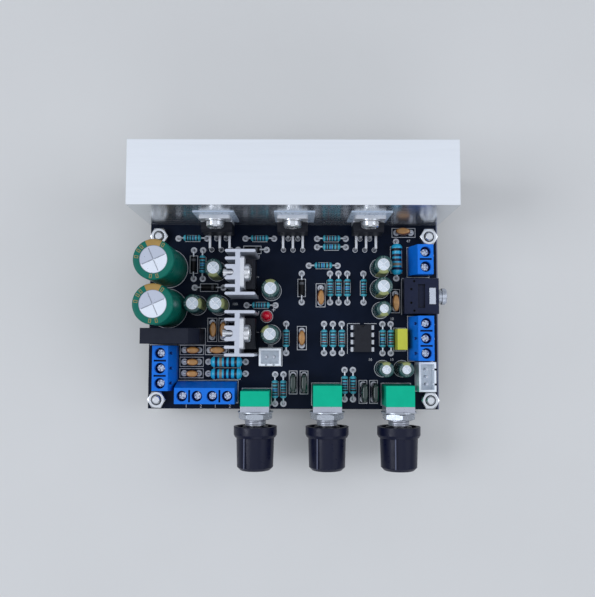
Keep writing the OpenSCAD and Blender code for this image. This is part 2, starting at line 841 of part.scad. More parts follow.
// Plastic bodies of the three power chips
module power_chip_bodies() {
    color("#1c1c1e")
        on_board(chips_at)
            translate([0, -insulator_t - tab_t, chip_lift])
                package_body();
}

// Tabs and formed leads of the three power chips
module power_chip_leadframes() {
    color("lightgray")
        on_board(chips_at) {
            translate([0, -insulator_t, chip_lift])
                package_tab();
            row(2, 2 * chip_lead_pitch)
                formed_lead(chip_rear_row, chip_lift * 0.6);
            row(3, 2 * chip_lead_pitch)
                formed_lead(chip_rear_row + chip_row_gap, chip_lift * 0.8);
        }
}

// Flat lead that leaves a power chip, steps forward at a height and goes through the board
module formed_lead(hole_y, step_z) {
    exit_y = insulator_t + tab_t + (package_t - tab_t) / 2;
    rotate([90, 0, 90])
        linear_extrude(package_lead_w, center = true) {
            translate([-exit_y - package_lead_t / 2, step_z])
                square([package_lead_t, chip_lift - step_z]);
            translate([-hole_y - package_lead_t / 2, step_z])
                square([hole_y - exit_y + package_lead_t, package_lead_t]);
            translate([-hole_y - package_lead_t / 2, -board_t])
                square([package_lead_t, step_z + board_t]);
        }
}

// Comb heatsinks of the two regulators, standing on the board, with fins on both sides of a web
module regulator_heatsinks() {
    end_y = (reg_sink_l - reg_fin_t) / 2;
    middle_y = reg_channel / 2;
    leg_l = reg_sink_w - reg_fin_l - reg_web_t;
    color("white")
        on_board(regulators_at)
            difference() {
                linear_extrude(reg_sink_h) {
                    translate([-reg_web_t, -reg_sink_l / 2])
                        square([reg_web_t, reg_sink_l]);
                    translate([-reg_web_t, 0])
                        rotate(180) {
                            for (side = [-1, 1], y = [end_y, (end_y + middle_y) / 2, middle_y])
                                translate([0, side * y])
                                    round_fin(reg_fin_l);
                            screw_boss();
                        }
                    for (side = [-1, 1])
                        translate([0, side * end_y])
                            round_fin(leg_l);
                }
                translate([eps, 0, reg_hole_z])
                    rotate([0, -90, 0])
                        cylinder(d = tap_gap_d, h = reg_web_t + reg_fin_l + 2 * eps);
            }
}

// Outline of a fin out of the web towards +X, with a round tip
module round_fin(length) {
    tip_r = reg_fin_t / 2;
    translate([-tip_r, -tip_r])
        square([length, reg_fin_t]);
    translate([length - tip_r, 0])
        circle(r = tip_r);
}

// Outline of the boss between the middle fins, with the slot for the screw open at its end
module screw_boss() {
    boss_l = reg_fin_l - reg_fin_t / 2;
    slot_r = reg_slot_w / 2;
    slot_end = reg_fin_t / 2 + slot_r;
    difference() {
        translate([-reg_fin_t / 2, -reg_channel / 2])
            square([reg_fin_t / 2 + boss_l, reg_channel]);
        translate([slot_end, -slot_r])
            square([reg_fin_l, reg_slot_w]);
        translate([slot_end, 0])
            circle(r = slot_r);
    }
}

// Plastic bodies of the two regulators
module regulator_bodies() {
    color("#1c1c1e")
        on_board(regulators_at)
            translate([tab_t, 0, reg_lift])
                rotate(90)
                    package_body();
}

// Tabs and straight leads of the two regulators
module regulator_leadframes() {
    color("lightgray")
        on_board(regulators_at)
            rotate(90) {
                translate([0, 0, reg_lift])
                    package_tab();
                translate([0, tab_t + package_lead_t - package_t, -board_t])
                    row(3, reg_lead_pitch)
                        translate([-package_lead_w / 2, -package_lead_t / 2, 0])
                            cube([package_lead_w, package_lead_t, board_t + reg_lift]);
            }
}

// Screws that hold the regulators to their heatsinks
module regulator_screws() {
    color("silver")
        on_board(regulators_at)
            translate([tab_t, 0, reg_hole_z])
                rotate([0, 90, 0])
                    pan_screw(reg_screw_l);
}

// Upright bridge rectifier with one cut corner
module bridge_rectifier() {
    color("#202024")
        on_board(bridge_at)
            translate([-bridge_w / 2, bridge_t / 2, bridge_lift])
                rotate([90, 0, 0])
                    linear_extrude(bridge_t)
                        polygon([
                            [0, 0], [bridge_w, 0], [bridge_w, bridge_h - bridge_cut],
                            [bridge_w - bridge_cut, bridge_h], [0, bridge_h]
                        ]);
}

// Half outline of a can: a tall rectangle with one round corner at its top
module can_outline(r, h, round_r) {
    square([r - round_r, h]);
    square([r, h - round_r]);
    translate([r - round_r, h - round_r])
        circle(r = round_r);
}

// Aluminium can with its rolled groove and the score on its top
module can(d, h, score_turn) {
    can_r = d / 2 - sleeve_t - sleeve_gap;
    can_h = h - sleeve_t - sleeve_gap;
    difference() {
        rotate_extrude()
            difference() {
                can_outline(can_r, can_h, can_round);
                translate([can_r + can_round / 2, 3 * can_round])
                    circle(r = can_round);
            }
        for (turn = [0, 90])
            rotate(score_turn + turn)
                translate([-d / 3.4, -score_depth, can_h - score_depth])
                    cube([d / 1.7, 2 * score_depth, 2 * score_depth]);
    }
}

// Plastic sleeve round a can, turned in over its top edge
module sleeve(d, h, lip) {
    can_r = d / 2 - sleeve_t;
    rotate_extrude()
        difference() {
            can_outline(d / 2, h, can_round + sleeve_t);
            can_outline(can_r, h - sleeve_t, can_round);
            square([d / 2 - lip, h + eps]);
        }
}

// Cans of the two filter capacitors
module filter_capacitor_cans() {
    color("silver") on_board(filters_at) can(filter_d, filter_h, filter_score_turn);
}

// Sleeves of the two filter capacitors
module filter_capacitor_sleeves() {
    color("darkgreen") on_board(filters_at) sleeve(filter_d, filter_h, filter_lip);
}

// Cans of the small and slim electrolytic capacitors
module small_capacitor_cans() {
    color("silver") {
        on_board(smalls_at) can(small_d, small_h, small_score_turn);
        on_board(slims_at) can(slim_d, small_h, small_score_turn);
    }
}

// Sleeves of the small and slim electrolytic capacitors
module small_capacitor_sleeves() {
    color("darkgreen") {
        on_board(smalls_at) sleeve(small_d, small_h, small_lip);
        on_board(slims_at) sleeve(slim_d, small_h, small_lip);
    }
}

// Resistor body along X: a thin core between two rounded ends
module dumbbell(length, d, core_d) {
    end_r = d / 4;
    rotate([0, 90, 0])
        rotate_extrude() {
            translate([0, -length / 2 + end_r])
                square([core_d / 2, length - 2 * end_r]);
            for (side = [-1, 1])
                translate([0, side * (length / 2 - end_r)]) {
                    translate([0, -end_r])
                        square([d / 2 - end_r, 2 * end_r]);
                    translate([d / 2 - end_r, 0])
                        circle(r = end_r);
                }
        }
}

// Bodies of the small resistors
module resistors() {
    color("steelblue")
        on_board(resistors_at)
            translate([0, 0, resistor_z])
                dumbbell(resistor_l, resistor_d, resistor_core_d);
}

// Bodies of the power resistors
module power_resistors() {
    color("steelblue")
        on_board(power_resistors_at)
            translate([0, 0, power_resistor_z])
                dumbbell(power_resistor_l, power_resistor_d, power_resistor_core_d);
}

// Bodies of the diodes
module diodes() {
    color("#222226")
        on_board(diodes_at)
            translate([-diode_l / 2, 0, diode_z])
                rotate([0, 90, 0])
                    cylinder(d = diode_d, h = diode_l);
}

// Rectangle from the origin upwards, with round corners
module round_rectangle(w, h, r) {
    translate([-w / 2, r])
        square([w, h - 2 * r]);
    translate([-w / 2 + r, 0])
        square([w - 2 * r, h]);
    for (x = [-w / 2 + r, w / 2 - r], y = [r, h - r])
        translate([x, y])
            circle(r = r);
}

// Outline of a dipped capacitor from above: two arcs that draw in to blunt ends
module lens(w, t) {
    sag = t * (1 - disc_tip) / 2;
    arc_r = (pow(w / 2, 2) + pow(sag, 2)) / (2 * sag);
    intersection() {
        translate([-w / 2, -t / 2])
            square([w, t]);
        translate([0, arc_r - t / 2])
            circle(r = arc_r);
        translate([0, t / 2 - arc_r])
            circle(r = arc_r);
    }
}

// Dipped capacitor body: rounded when seen from its front and from above
module dipped_body(w, t, h) {
    translate([0, 0, disc_lift])
        intersection() {
            rotate([90, 0, 0])
                linear_extrude(t, center = true)
                    round_rectangle(w, h, w * disc_round);
            linear_extrude(h)
                lens(w, t);
        }
}

// Bodies of the ceramic capacitors
module ceramic_capacitors() {
    color("peru") on_board(ceramics_at) dipped_body(ceramic_w, ceramic_t, ceramic_h);
}

// Bodies of the film capacitors
module film_capacitors() {
    color("#28443a") on_board(films_at) dipped_body(film_w, film_t, film_h);
}

// Moulded box capacitor
module box_capacitor() {
    color("khaki")
        on_board(box_at)
            translate([-box_l / 2, -box_t / 2, 0])
                cube([box_l, box_t, box_h]);
}

// Indicator lamp with a domed lens and a flange
module indicator_lamp() {
    color("red")
        on_board(lamp_at) {
            cylinder(d = lamp_flange_d, h = lamp_flange_h);
            cylinder(d = lamp_d, h = lamp_h - lamp_d / 2);
            translate([0, 0, lamp_h - lamp_d / 2])
                sphere(d = lamp_d);
        }
}

// Small chip with sloping sides, an end notch and a pin mark
module small_chip() {
    draft = dip_h / 8;
    color("#202022")
        on_board(dip_at)
            translate([0, 0, dip_lift])
                difference() {
                    rotate([90, 0, 0])
                        linear_extrude(dip_l, center = true)
                            polygon([
                                [draft - dip_w / 2, 0], [dip_w / 2 - draft, 0],
                                [dip_w / 2, dip_h / 2], [dip_w / 2 - draft, dip_h],
                                [draft - dip_w / 2, dip_h], [-dip_w / 2, dip_h / 2]
                            ]);
                    translate([0, dip_l / 2, dip_h * 0.8])
                        cylinder(d = dip_w / 4, h = dip_h);
                    translate([-dip_w / 4, dip_l * 0.35, dip_h * 0.9])
                        cylinder(d = dip_w / 8, h = dip_h);
                }
}

// Open header housing with two key slots in its front wall
module header_housing(count) {
    length = (count - 1) * header_pitch + 2 * header_end;
    slot_w = header_wall;
    pin_hole = header_pin + 2 * contact_gap;
    difference() {
        translate([-length / 2, -header_w / 2, 0])
            cube([length, header_w, header_h]);
        translate([header_wall - length / 2, header_wall - header_w / 2, header_floor])
            cube([length - 2 * header_wall, header_w - 2 * header_wall, header_h]);
        row(count, header_pitch)
            translate([-pin_hole / 2, -pin_hole / 2, -eps])
                cube([pin_hole, pin_hole, header_floor + 2 * eps]);
        row(2, (count - 1) * header_pitch)
            translate([-slot_w / 2, -header_w / 2 - eps, header_h / 2])
                cube([slot_w, header_wall + 2 * eps, header_h]);
    }
}

// Two pin header beside the regulators
module two_pin_header() {
    color("white") on_board(two_pin_at) header_housing(2);
}

// Three pin header at the right edge
module three_pin_header() {
    color("white") on_board(three_pin_at) header_housing(3);
}

// Jack body with its bore, the pocket of the barrel's flange and a top recess
module jack_housing() {
    flange_r = barrel_lip_d / 2 + contact_gap;
    pocket_l = barrel_flange_l + 2 * contact_gap;
    recess_l = jack_l / 5;
    color("#26262a")
        on_board(jack_at)
            difference() {
                translate([-jack_l, -jack_w / 2, 0])
                    cube([jack_l, jack_w, jack_h]);
                translate([eps, 0, jack_axis_h])
                    rotate([0, -90, 0])
                        cylinder(d = barrel_d + 2 * contact_gap, h = jack_wall + 2 * eps);
                translate([jack_front, 0, jack_axis_h])
                    rotate([0, -90, 0]) {
                        cylinder(r = flange_r, h = pocket_l);
                        cylinder(d = jack_bore_d, h = jack_l - 2 * jack_wall);
                    }
                translate([jack_front - pocket_l, -flange_r, jack_axis_h])
                    cube([pocket_l, 2 * flange_r, jack_h]);
                translate([-jack_l / 2 - recess_l / 2, -jack_w / 3, jack_h - jack_wall])
                    cube([recess_l, jack_w / 1.5, jack_h]);
                for (spot = jack_sights_at, side = [-1, 1])
                    translate([-spot[0], side * spot[1], jack_h - jack_wall])
                        cylinder(d = jack_sight_d, h = jack_h);
            }
}

// Bright barrel of the jack: a flange up to the housing's top, a neck and a round lip outside
module jack_barrel() {
    rise = jack_h - jack_axis_h - contact_gap;
    color("silver")
        on_board(jack_at)
            translate([jack_front - contact_gap, 0, jack_axis_h])
                rotate([0, 90, 0])
                    difference() {
                        union() {
                            translate([0, 0, -barrel_flange_l])
                                linear_extrude(barrel_flange_l) {
                                    circle(d = barrel_lip_d);
                                    translate([-rise, -barrel_lip_d / 2])
                                        square([rise, barrel_lip_d]);
                                }
                            cylinder(d = barrel_d, h = jack_wall + barrel_out);
                            translate([0, 0, jack_wall + barrel_out - barrel_lip_l])
                                rotate_extrude()
                                    can_outline(barrel_lip_d / 2, barrel_lip_l, barrel_lip_l / 3);
                        }
                        translate([0, 0, -barrel_flange_l - eps])
                            cylinder(d = jack_bore_d, h = barrel_flange_l + jack_wall + barrel_out + 2 * eps);
                    }
}

// Two leads of an axial part: out of the body's ends, round a bend and through the board
module axial_leads(pitch, body_l, axis_z) {
    for (turn = [0, 180])
        rotate(turn) {
            translate([body_l / 2, 0, axis_z])
                rotate([0, 90, 0])
                    cylinder(d = lead_d, h = (pitch - body_l) / 2 - bend_r);
            translate([pitch / 2 - bend_r, 0, axis_z - bend_r])
                rotate([90, 0, 0])
                    rotate_extrude(angle = 90)
                        translate([bend_r, 0])
                            circle(d = lead_d);
            straight_lead(pitch / 2, axis_z - bend_r);
        }
}

// Round lead through the board up to a height
module straight_lead(x, z) {
    translate([x, 0, -board_t])
        cylinder(d = lead_d, h = board_t + z);
}

// Two leads of a dipped capacitor, each stepping in under the body
module disc_leads(body_w) {
    step_x = body_w / 8;
    for (turn = [0, 180])
        rotate(turn)
            rotate([90, 0, 0])
                linear_extrude(lead_d, center = true) {
                    translate([disc_pitch / 2 - lead_d / 2, -board_t])
                        square([lead_d, board_t + disc_lift - lead_d]);
                    translate([step_x - lead_d / 2, disc_lift - 2 * lead_d])
                        square([disc_pitch / 2 - step_x + lead_d, lead_d]);
                    translate([step_x - lead_d / 2, disc_lift - 2 * lead_d])
                        square([lead_d, 2 * lead_d]);
                }
}

// Pin of the small chip: a wide shoulder beside the body and a narrow leg below
module dip_pin() {
    shoulder_z = dip_lift + dip_h / 2;
    shoulder_w = dip_pitch * dip_shoulder;
    reach = (dip_row_gap - dip_w) / 2;
    leg_w = lead_d * 0.8;
    translate([0, -shoulder_w / 2, shoulder_z - lead_d])
        cube([leg_w / 2, shoulder_w, lead_d]);
    translate([-reach, -shoulder_w / 2, shoulder_z - leg_w])
        cube([reach + leg_w / 2, shoulder_w, leg_w]);
    translate([-leg_w / 2, -leg_w / 2, -board_t])
        cube([leg_w, leg_w, board_t + shoulder_z - leg_w]);
}

// Every tinned lead and pin of the parts that have no metal node of their own
module component_leads() {
    color("silver") {
        on_board(resistors_at) axial_leads(axial_pitch, resistor_l, resistor_z);
        on_board(diodes_at) axial_leads(axial_pitch, diode_l, diode_z);
        on_board(power_resistors_at)
            axial_leads(power_resistor_pitch, power_resistor_l, power_resistor_z);
        on_board(ceramics_at) disc_leads(ceramic_w);
        on_board(films_at) disc_leads(film_w);
        on_board(dip_at)
            for (turn = [0, 180])
                rotate(turn)
                    translate([dip_row_gap / 2, 0, 0])
                        rotate(90)
                            row(4, dip_pitch) rotate(-90) dip_pin();
        translate([0, 0, top_z])
            at_hidden_leads() straight_lead(0, 0);
        on_board(bridge_at)
            row(4, bridge_pitch)
                straight_lead(0, bridge_lift);
        on_board(two_pin_at) row(2, header_pitch) header_post();
        on_board(three_pin_at) row(3, header_pitch) header_post();
        translate([0, 0, top_z]) {
            at_jack_pins() straight_lead(0, 0);
            at_pot_pins() straight_lead(0, 0);
        }
    }
}

// Square post of a header
module header_post() {
    translate([-header_pin / 2, -header_pin / 2, -board_t])
        cube([header_pin, header_pin, board_t + header_h - header_pin_drop]);
}

// Plastic bodies of the controls, each with the socket of its shaft
module control_bodies() {
    color("mediumaquamarine")
        for (i = [0:2])
            on_board([pots_at[i]])
                difference() {
                    translate([-pot_w / 2, pot_front_t, 0])
                        cube([pot_w, pot_depths[i], pot_h]);
                    translate([0, pot_front_t + shaft_in + shaft_gap, pot_axis_h])
                        rotate([90, 0, 0])
                            cylinder(r = shaft_hole_r, h = shaft_in + shaft_gap + eps);
                }
}

// Metal fronts of the controls, each in one piece with its bushing
module control_fronts() {
    color("lightgray")
        on_board(pots_at)
            difference() {
                union() {
                    translate([-pot_w / 2, 0, 0])
                        cube([pot_w, pot_front_t, pot_h]);
                    translate([0, 0, pot_axis_h])
                        rotate([90, 0, 0])
                            cylinder(d = bushing_d, h = bushing_l);
                }
                translate([0, pot_front_t + eps, pot_axis_h])
                    rotate([90, 0, 0])
                        cylinder(r = shaft_hole_r, h = pot_front_t + bushing_l + 2 * eps);
            }
}

// Nuts and washers of the controls
module control_nuts() {
    bore_d = bushing_d + 2 * screw_gap;
    nut_turns = [0, 8, 24];
    color("silver")
        for (i = [0:2])
            on_board([pots_at[i]])
                translate([0, 0, pot_axis_h])
                    rotate([90, 0, 0]) {
                        linear_extrude(pot_washer_t)
                            land(bore_d, (pot_washer_d - bore_d) / 2);
                        translate([0, 0, pot_washer_t + seat_gap])
                            rotate(nut_turns[i])
                                difference() {
                                    intersection() {
                                        cylinder(d = pot_nut_af * hex, h = pot_nut_h, $fn = 6);
                                        nut_envelope(pot_nut_af, pot_nut_h);
                                    }
                                    translate([0, 0, -eps])
                                        cylinder(d = bore_d, h = pot_nut_h + 2 * eps);
                                }
                    }
}

// Places a turning piece of a control: its own +Z is out of the board's front
module on_control(i) {
    on_board([pots_at[i]])
        translate([0, 0, pot_axis_h])
            rotate([90, 0, 0])
                rotate(knob_turns[i])
                    children();
}

// Outline of a shaft's end, round with one flat below
module flatted(d) {
    difference() {
        circle(d = d);
        translate([-d, -d - d / 2 + shaft_flat])
            square([2 * d, d]);
    }
}

// Shaft of a control, round in its bushing and with a flat inside the knob
module shaft(i) {
    start = -pot_front_t - shaft_in;
    round_l = bushing_l + knob_gap - start;
    color("silver")
        on_control(i) {
            translate([0, 0, start])
                cylinder(d = shaft_d, h = round_l);
            translate([0, 0, start + round_l])
                linear_extrude(shaft_out - knob_gap)
                    flatted(shaft_d);
        }
}

// Knob with a skirt, a tapered grip, a pointer rib and a hollow back round its hub
module knob(i) {
    bore_d = shaft_d + 2 * shaft_gap;
    hub_r = bore_d / 2 + hub_wall;
    bore_l = shaft_out - knob_gap + shaft_gap;
    bevel = skirt_l / 4;
    color("#2a2a2e")
        on_control(i)
            translate([0, 0, bushing_l + knob_gap])
                difference() {
                    union() {
                        rotate_extrude()
                            polygon([
                                [0, 0], [skirt_d / 2, 0], [skirt_d / 2, skirt_l - bevel],
                                [skirt_d / 2 - bevel / 2, skirt_l], [knob_d / 2, skirt_l],
                                [knob_end_d / 2, knob_l - knob_round],
                                [knob_end_d / 2 - knob_round, knob_l], [0, knob_l]
                            ]);
                        translate([-rib_w / 2, knob_end_d / 2 - 2 * rib_h, skirt_l])
                            cube([
                                rib_w, (knob_d - knob_end_d) / 2 + 3 * rib_h,
                                knob_l - skirt_l - knob_round
                            ]);
                    }
                    translate([0, 0, -eps])
                        linear_extrude(hollow_depth + eps)
                            land(2 * hub_r, skirt_d / 2 - skirt_wall - hub_r);
                    translate([0, 0, -eps])
                        linear_extrude(bore_l + eps)
                            flatted(bore_d);
                }
}

module shaft_left() { shaft(0); }
module shaft_middle() { shaft(1); }
module shaft_right() { shaft(2); }
module knob_left() { knob(0); }
module knob_middle() { knob(1); }
module knob_right() { knob(2); }

// Housing of a screw terminal, with its wire entries towards -Y
module terminal_housing(place, poles) {
    length = poles * terminal_pitch;
    hole_y = terminal_crest + (terminal_rear - terminal_crest) / 3;
    color("royalblue")
        on_board(place)
            difference() {
                rotate([90, 0, 90])
                    linear_extrude(length, center = true)
                        polygon([
                            [-terminal_front, 0], [terminal_rear, 0], [terminal_rear, slope_foot],
                            [terminal_crest, terminal_h], [-terminal_front, terminal_h]
                        ]);
                row(poles, terminal_pitch) {
                    translate([0, 0, chamber_h - eps])
                        cylinder(d = well_d, h = terminal_h);
                    translate([-chamber_w / 2, entry_wall - terminal_front, -eps])
                        cube([chamber_w, chamber_d, chamber_h + eps]);
                    translate([-entry_w / 2, -terminal_front - eps, contact_floor])
                        cube([entry_w, entry_wall + 2 * eps, entry_h]);
                    if (poles > 2)
                        translate([0, hole_y, chamber_h + entry_wall / 2])
                            cylinder(d = slope_hole_d, h = terminal_h);
                }
                row(poles - 1, terminal_pitch)
                    translate([-divider_w / 2, -divider_l / 2, terminal_h - divider_depth])
                        cube([divider_w, divider_l, terminal_h]);
            }
}

// Brass contacts in every terminal: a box with a wire tunnel, a tapped top and a pin
module terminal_contacts() {
    tunnel_w = entry_w + 2 * contact_gap;
    color("goldenrod")
        for (terminal = terminals)
            on_board(terminal[0])
                row(terminal[1], terminal_pitch)
                    difference() {
                        union() {
                            translate([
                                contact_gap - chamber_w / 2, entry_wall + contact_gap - terminal_front, 0
                            ])
                                cube([
                                    chamber_w - 2 * contact_gap, chamber_d - 2 * contact_gap,
                                    chamber_h - contact_gap
                                ]);
                            translate([0, 0, -board_t])
                                cylinder(d = contact_pin_d, h = board_t + eps);
                        }
                        translate([-tunnel_w / 2, -terminal_front, contact_floor])
                            cube([tunnel_w, 2 * chamber_d, entry_h]);
                        translate([0, 0, contact_floor + entry_h - eps])
                            cylinder(d = terminal_thread_d + 2 * screw_gap, h = chamber_h);
                    }
}

// Slotted screw of one pole, counted from the left when seen from the wire side
module terminal_screw(place, poles, pole) {
    slot_w = terminal_head_d / 5;
    color("silver")
        on_board(place)
            translate([(pole - (poles + 1) / 2) * terminal_pitch, 0, terminal_head_z])
                rotate(40 * pole) {
                    difference() {
                        rotate_extrude()
                            can_outline(terminal_head_d / 2, terminal_head_h, terminal_head_h / 3);
                        translate([-terminal_head_d, -slot_w / 2, terminal_head_h / 2])
                            cube([2 * terminal_head_d, slot_w, terminal_head_h]);
                        translate([-slot_w / 2, -terminal_head_d / 3, terminal_head_h / 2])
                            cube([slot_w, terminal_head_d / 1.5, terminal_head_h]);
                    }
                    translate([0, 0, -terminal_screw_l])
                        cylinder(d = terminal_thread_d, h = terminal_screw_l);
                }
}

module supply_terminal() { terminal_housing(supply_at, 3); }
module left_speaker_terminal() { terminal_housing(left_speaker_at, 2); }
module right_speaker_terminal() { terminal_housing(right_speaker_at, 2); }
module third_speaker_terminal() { terminal_housing(third_speaker_at, 2); }
module input_terminal() { terminal_housing(input_at, 3); }

module supply_screw_1() { terminal_screw(supply_at, 3, 1); }
module supply_screw_2() { terminal_screw(supply_at, 3, 2); }
module supply_screw_3() { terminal_screw(supply_at, 3, 3); }
module left_speaker_screw_1() { terminal_screw(left_speaker_at, 2, 1); }
module left_speaker_screw_2() { terminal_screw(left_speaker_at, 2, 2); }
module right_speaker_screw_1() { terminal_screw(right_speaker_at, 2, 1); }
module right_speaker_screw_2() { terminal_screw(right_speaker_at, 2, 2); }
module third_speaker_screw_1() { terminal_screw(third_speaker_at, 2, 1); }
module third_speaker_screw_2() { terminal_screw(third_speaker_at, 2, 2); }
module input_screw_1() { terminal_screw(input_at, 3, 1); }
module input_screw_2() { terminal_screw(input_at, 3, 2); }
module input_screw_3() { terminal_screw(input_at, 3, 3); }

circuit_board();
solder_lands();
solder_joints();
standoffs();
standoff_nuts();
heatsink();
heatsink_screws();
insulator_pads();
chip_screws();
power_chip_bodies();
power_chip_leadframes();
regulator_heatsinks();
regulator_bodies();
regulator_leadframes();
regulator_screws();
bridge_rectifier();
filter_capacitor_cans();
filter_capacitor_sleeves();
small_capacitor_cans();
small_capacitor_sleeves();
resistors();
power_resistors();
diodes();
ceramic_capacitors();
film_capacitors();
box_capacitor();
indicator_lamp();
small_chip();
two_pin_header();
three_pin_header();
jack_housing();
jack_barrel();
component_leads();
control_bodies();
control_fronts();
control_nuts();
shaft_left();
shaft_middle();
shaft_right();
knob_left();
knob_middle();
knob_right();
supply_terminal();
left_speaker_terminal();
right_speaker_terminal();
third_speaker_terminal();
input_terminal();
terminal_contacts();
supply_screw_1();
supply_screw_2();
supply_screw_3();
left_speaker_screw_1();
left_speaker_screw_2();
right_speaker_screw_1();
right_speaker_screw_2();
third_speaker_screw_1();
third_speaker_screw_2();
input_screw_1();
input_screw_2();
input_screw_3();
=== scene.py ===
"""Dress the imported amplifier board.

The CAD nodes get their finishes. New pieces stand for the sleeves, resistors, diodes and dipped
capacitors, and add the board's print, the solder fillets, the bushing threads and the pointers.
"""

import logging
import math
from collections.abc import Callable, Sequence
from dataclasses import dataclass, replace
from enum import Enum

import bmesh
import bpy
from mathutils import Matrix, Vector


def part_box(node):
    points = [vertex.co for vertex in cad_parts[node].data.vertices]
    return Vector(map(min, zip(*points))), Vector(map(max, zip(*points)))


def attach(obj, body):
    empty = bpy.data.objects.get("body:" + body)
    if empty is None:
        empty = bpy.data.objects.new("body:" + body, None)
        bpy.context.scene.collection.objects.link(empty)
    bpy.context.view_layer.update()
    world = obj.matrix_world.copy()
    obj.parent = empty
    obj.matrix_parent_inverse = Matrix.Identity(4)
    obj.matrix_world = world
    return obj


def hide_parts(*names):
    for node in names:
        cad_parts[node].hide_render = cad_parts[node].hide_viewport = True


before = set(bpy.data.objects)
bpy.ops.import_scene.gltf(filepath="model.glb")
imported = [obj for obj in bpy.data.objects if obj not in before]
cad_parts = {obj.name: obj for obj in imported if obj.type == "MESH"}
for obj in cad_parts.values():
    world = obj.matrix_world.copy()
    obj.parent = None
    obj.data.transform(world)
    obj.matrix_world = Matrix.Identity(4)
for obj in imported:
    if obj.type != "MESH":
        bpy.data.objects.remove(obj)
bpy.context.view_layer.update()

Colour = tuple[float, float, float, float]
Points = list[tuple[float, float]]
Shape = bmesh.types.BMesh
Socket = bpy.types.NodeSocket

MM = 0.001
MERGE = 1e-4
CLOUDS = (0.35, 0.7)
GRAINS = (0.3, 0.7)
NOISE_DETAIL = 3.0
OPEN_SAMPLES = 12
EDGE_SAMPLES = 6
DIGIT_SHARE = 0.72
DIGIT_STEPS = 3
THREAD_STEPS = 28
THREAD_FOOT = 0.45
PEBBLE_CUTS = 6
SIDES = ("left", "middle", "right")
TERMINAL_NAMES = ("supply", "left_speaker", "right_speaker", "third_speaker", "input")
log = logging.getLogger("amplifier_board")


def linear(code: int) -> Colour:
    """Turn a display colour code into a scene colour.

    Args:
        code: Colour as 0xRRGGBB.

    Returns:
        Red, green, blue and alpha for a shader socket.
    """
    parts = [((code >> shift) & 0xFF) / 255 for shift in (16, 8, 0)]
    light = [p / 12.92 if p <= 0.04045 else ((p + 0.055) / 1.055) ** 2.4 for p in parts]
    return (light[0], light[1], light[2], 1.0)


def shade(colour: Colour, share: float) -> Colour:
    """Darken a scene colour to a share of itself."""
    return (colour[0] * share, colour[1] * share, colour[2] * share, 1.0)


def moved(x: float, y: float, z: float) -> Matrix:
    """Give a shift in mm."""
    return Matrix.Translation((x, y, z))


def turned(degrees: float, axis: str = "Z") -> Matrix:
    """Give a turn about an axis."""
    return Matrix.Rotation(math.radians(degrees), 4, axis)


def link(name: str, data: bpy.types.ID) -> bpy.types.Object:
    """Make an object and link it to the scene.

    Args:
        name: Name of the object.
        data: Its mesh, lamp or camera.

    Returns:
        The new object.
    """
    made = bpy.data.objects.new(name, data)
    bpy.context.scene.collection.objects.link(made)
    return made


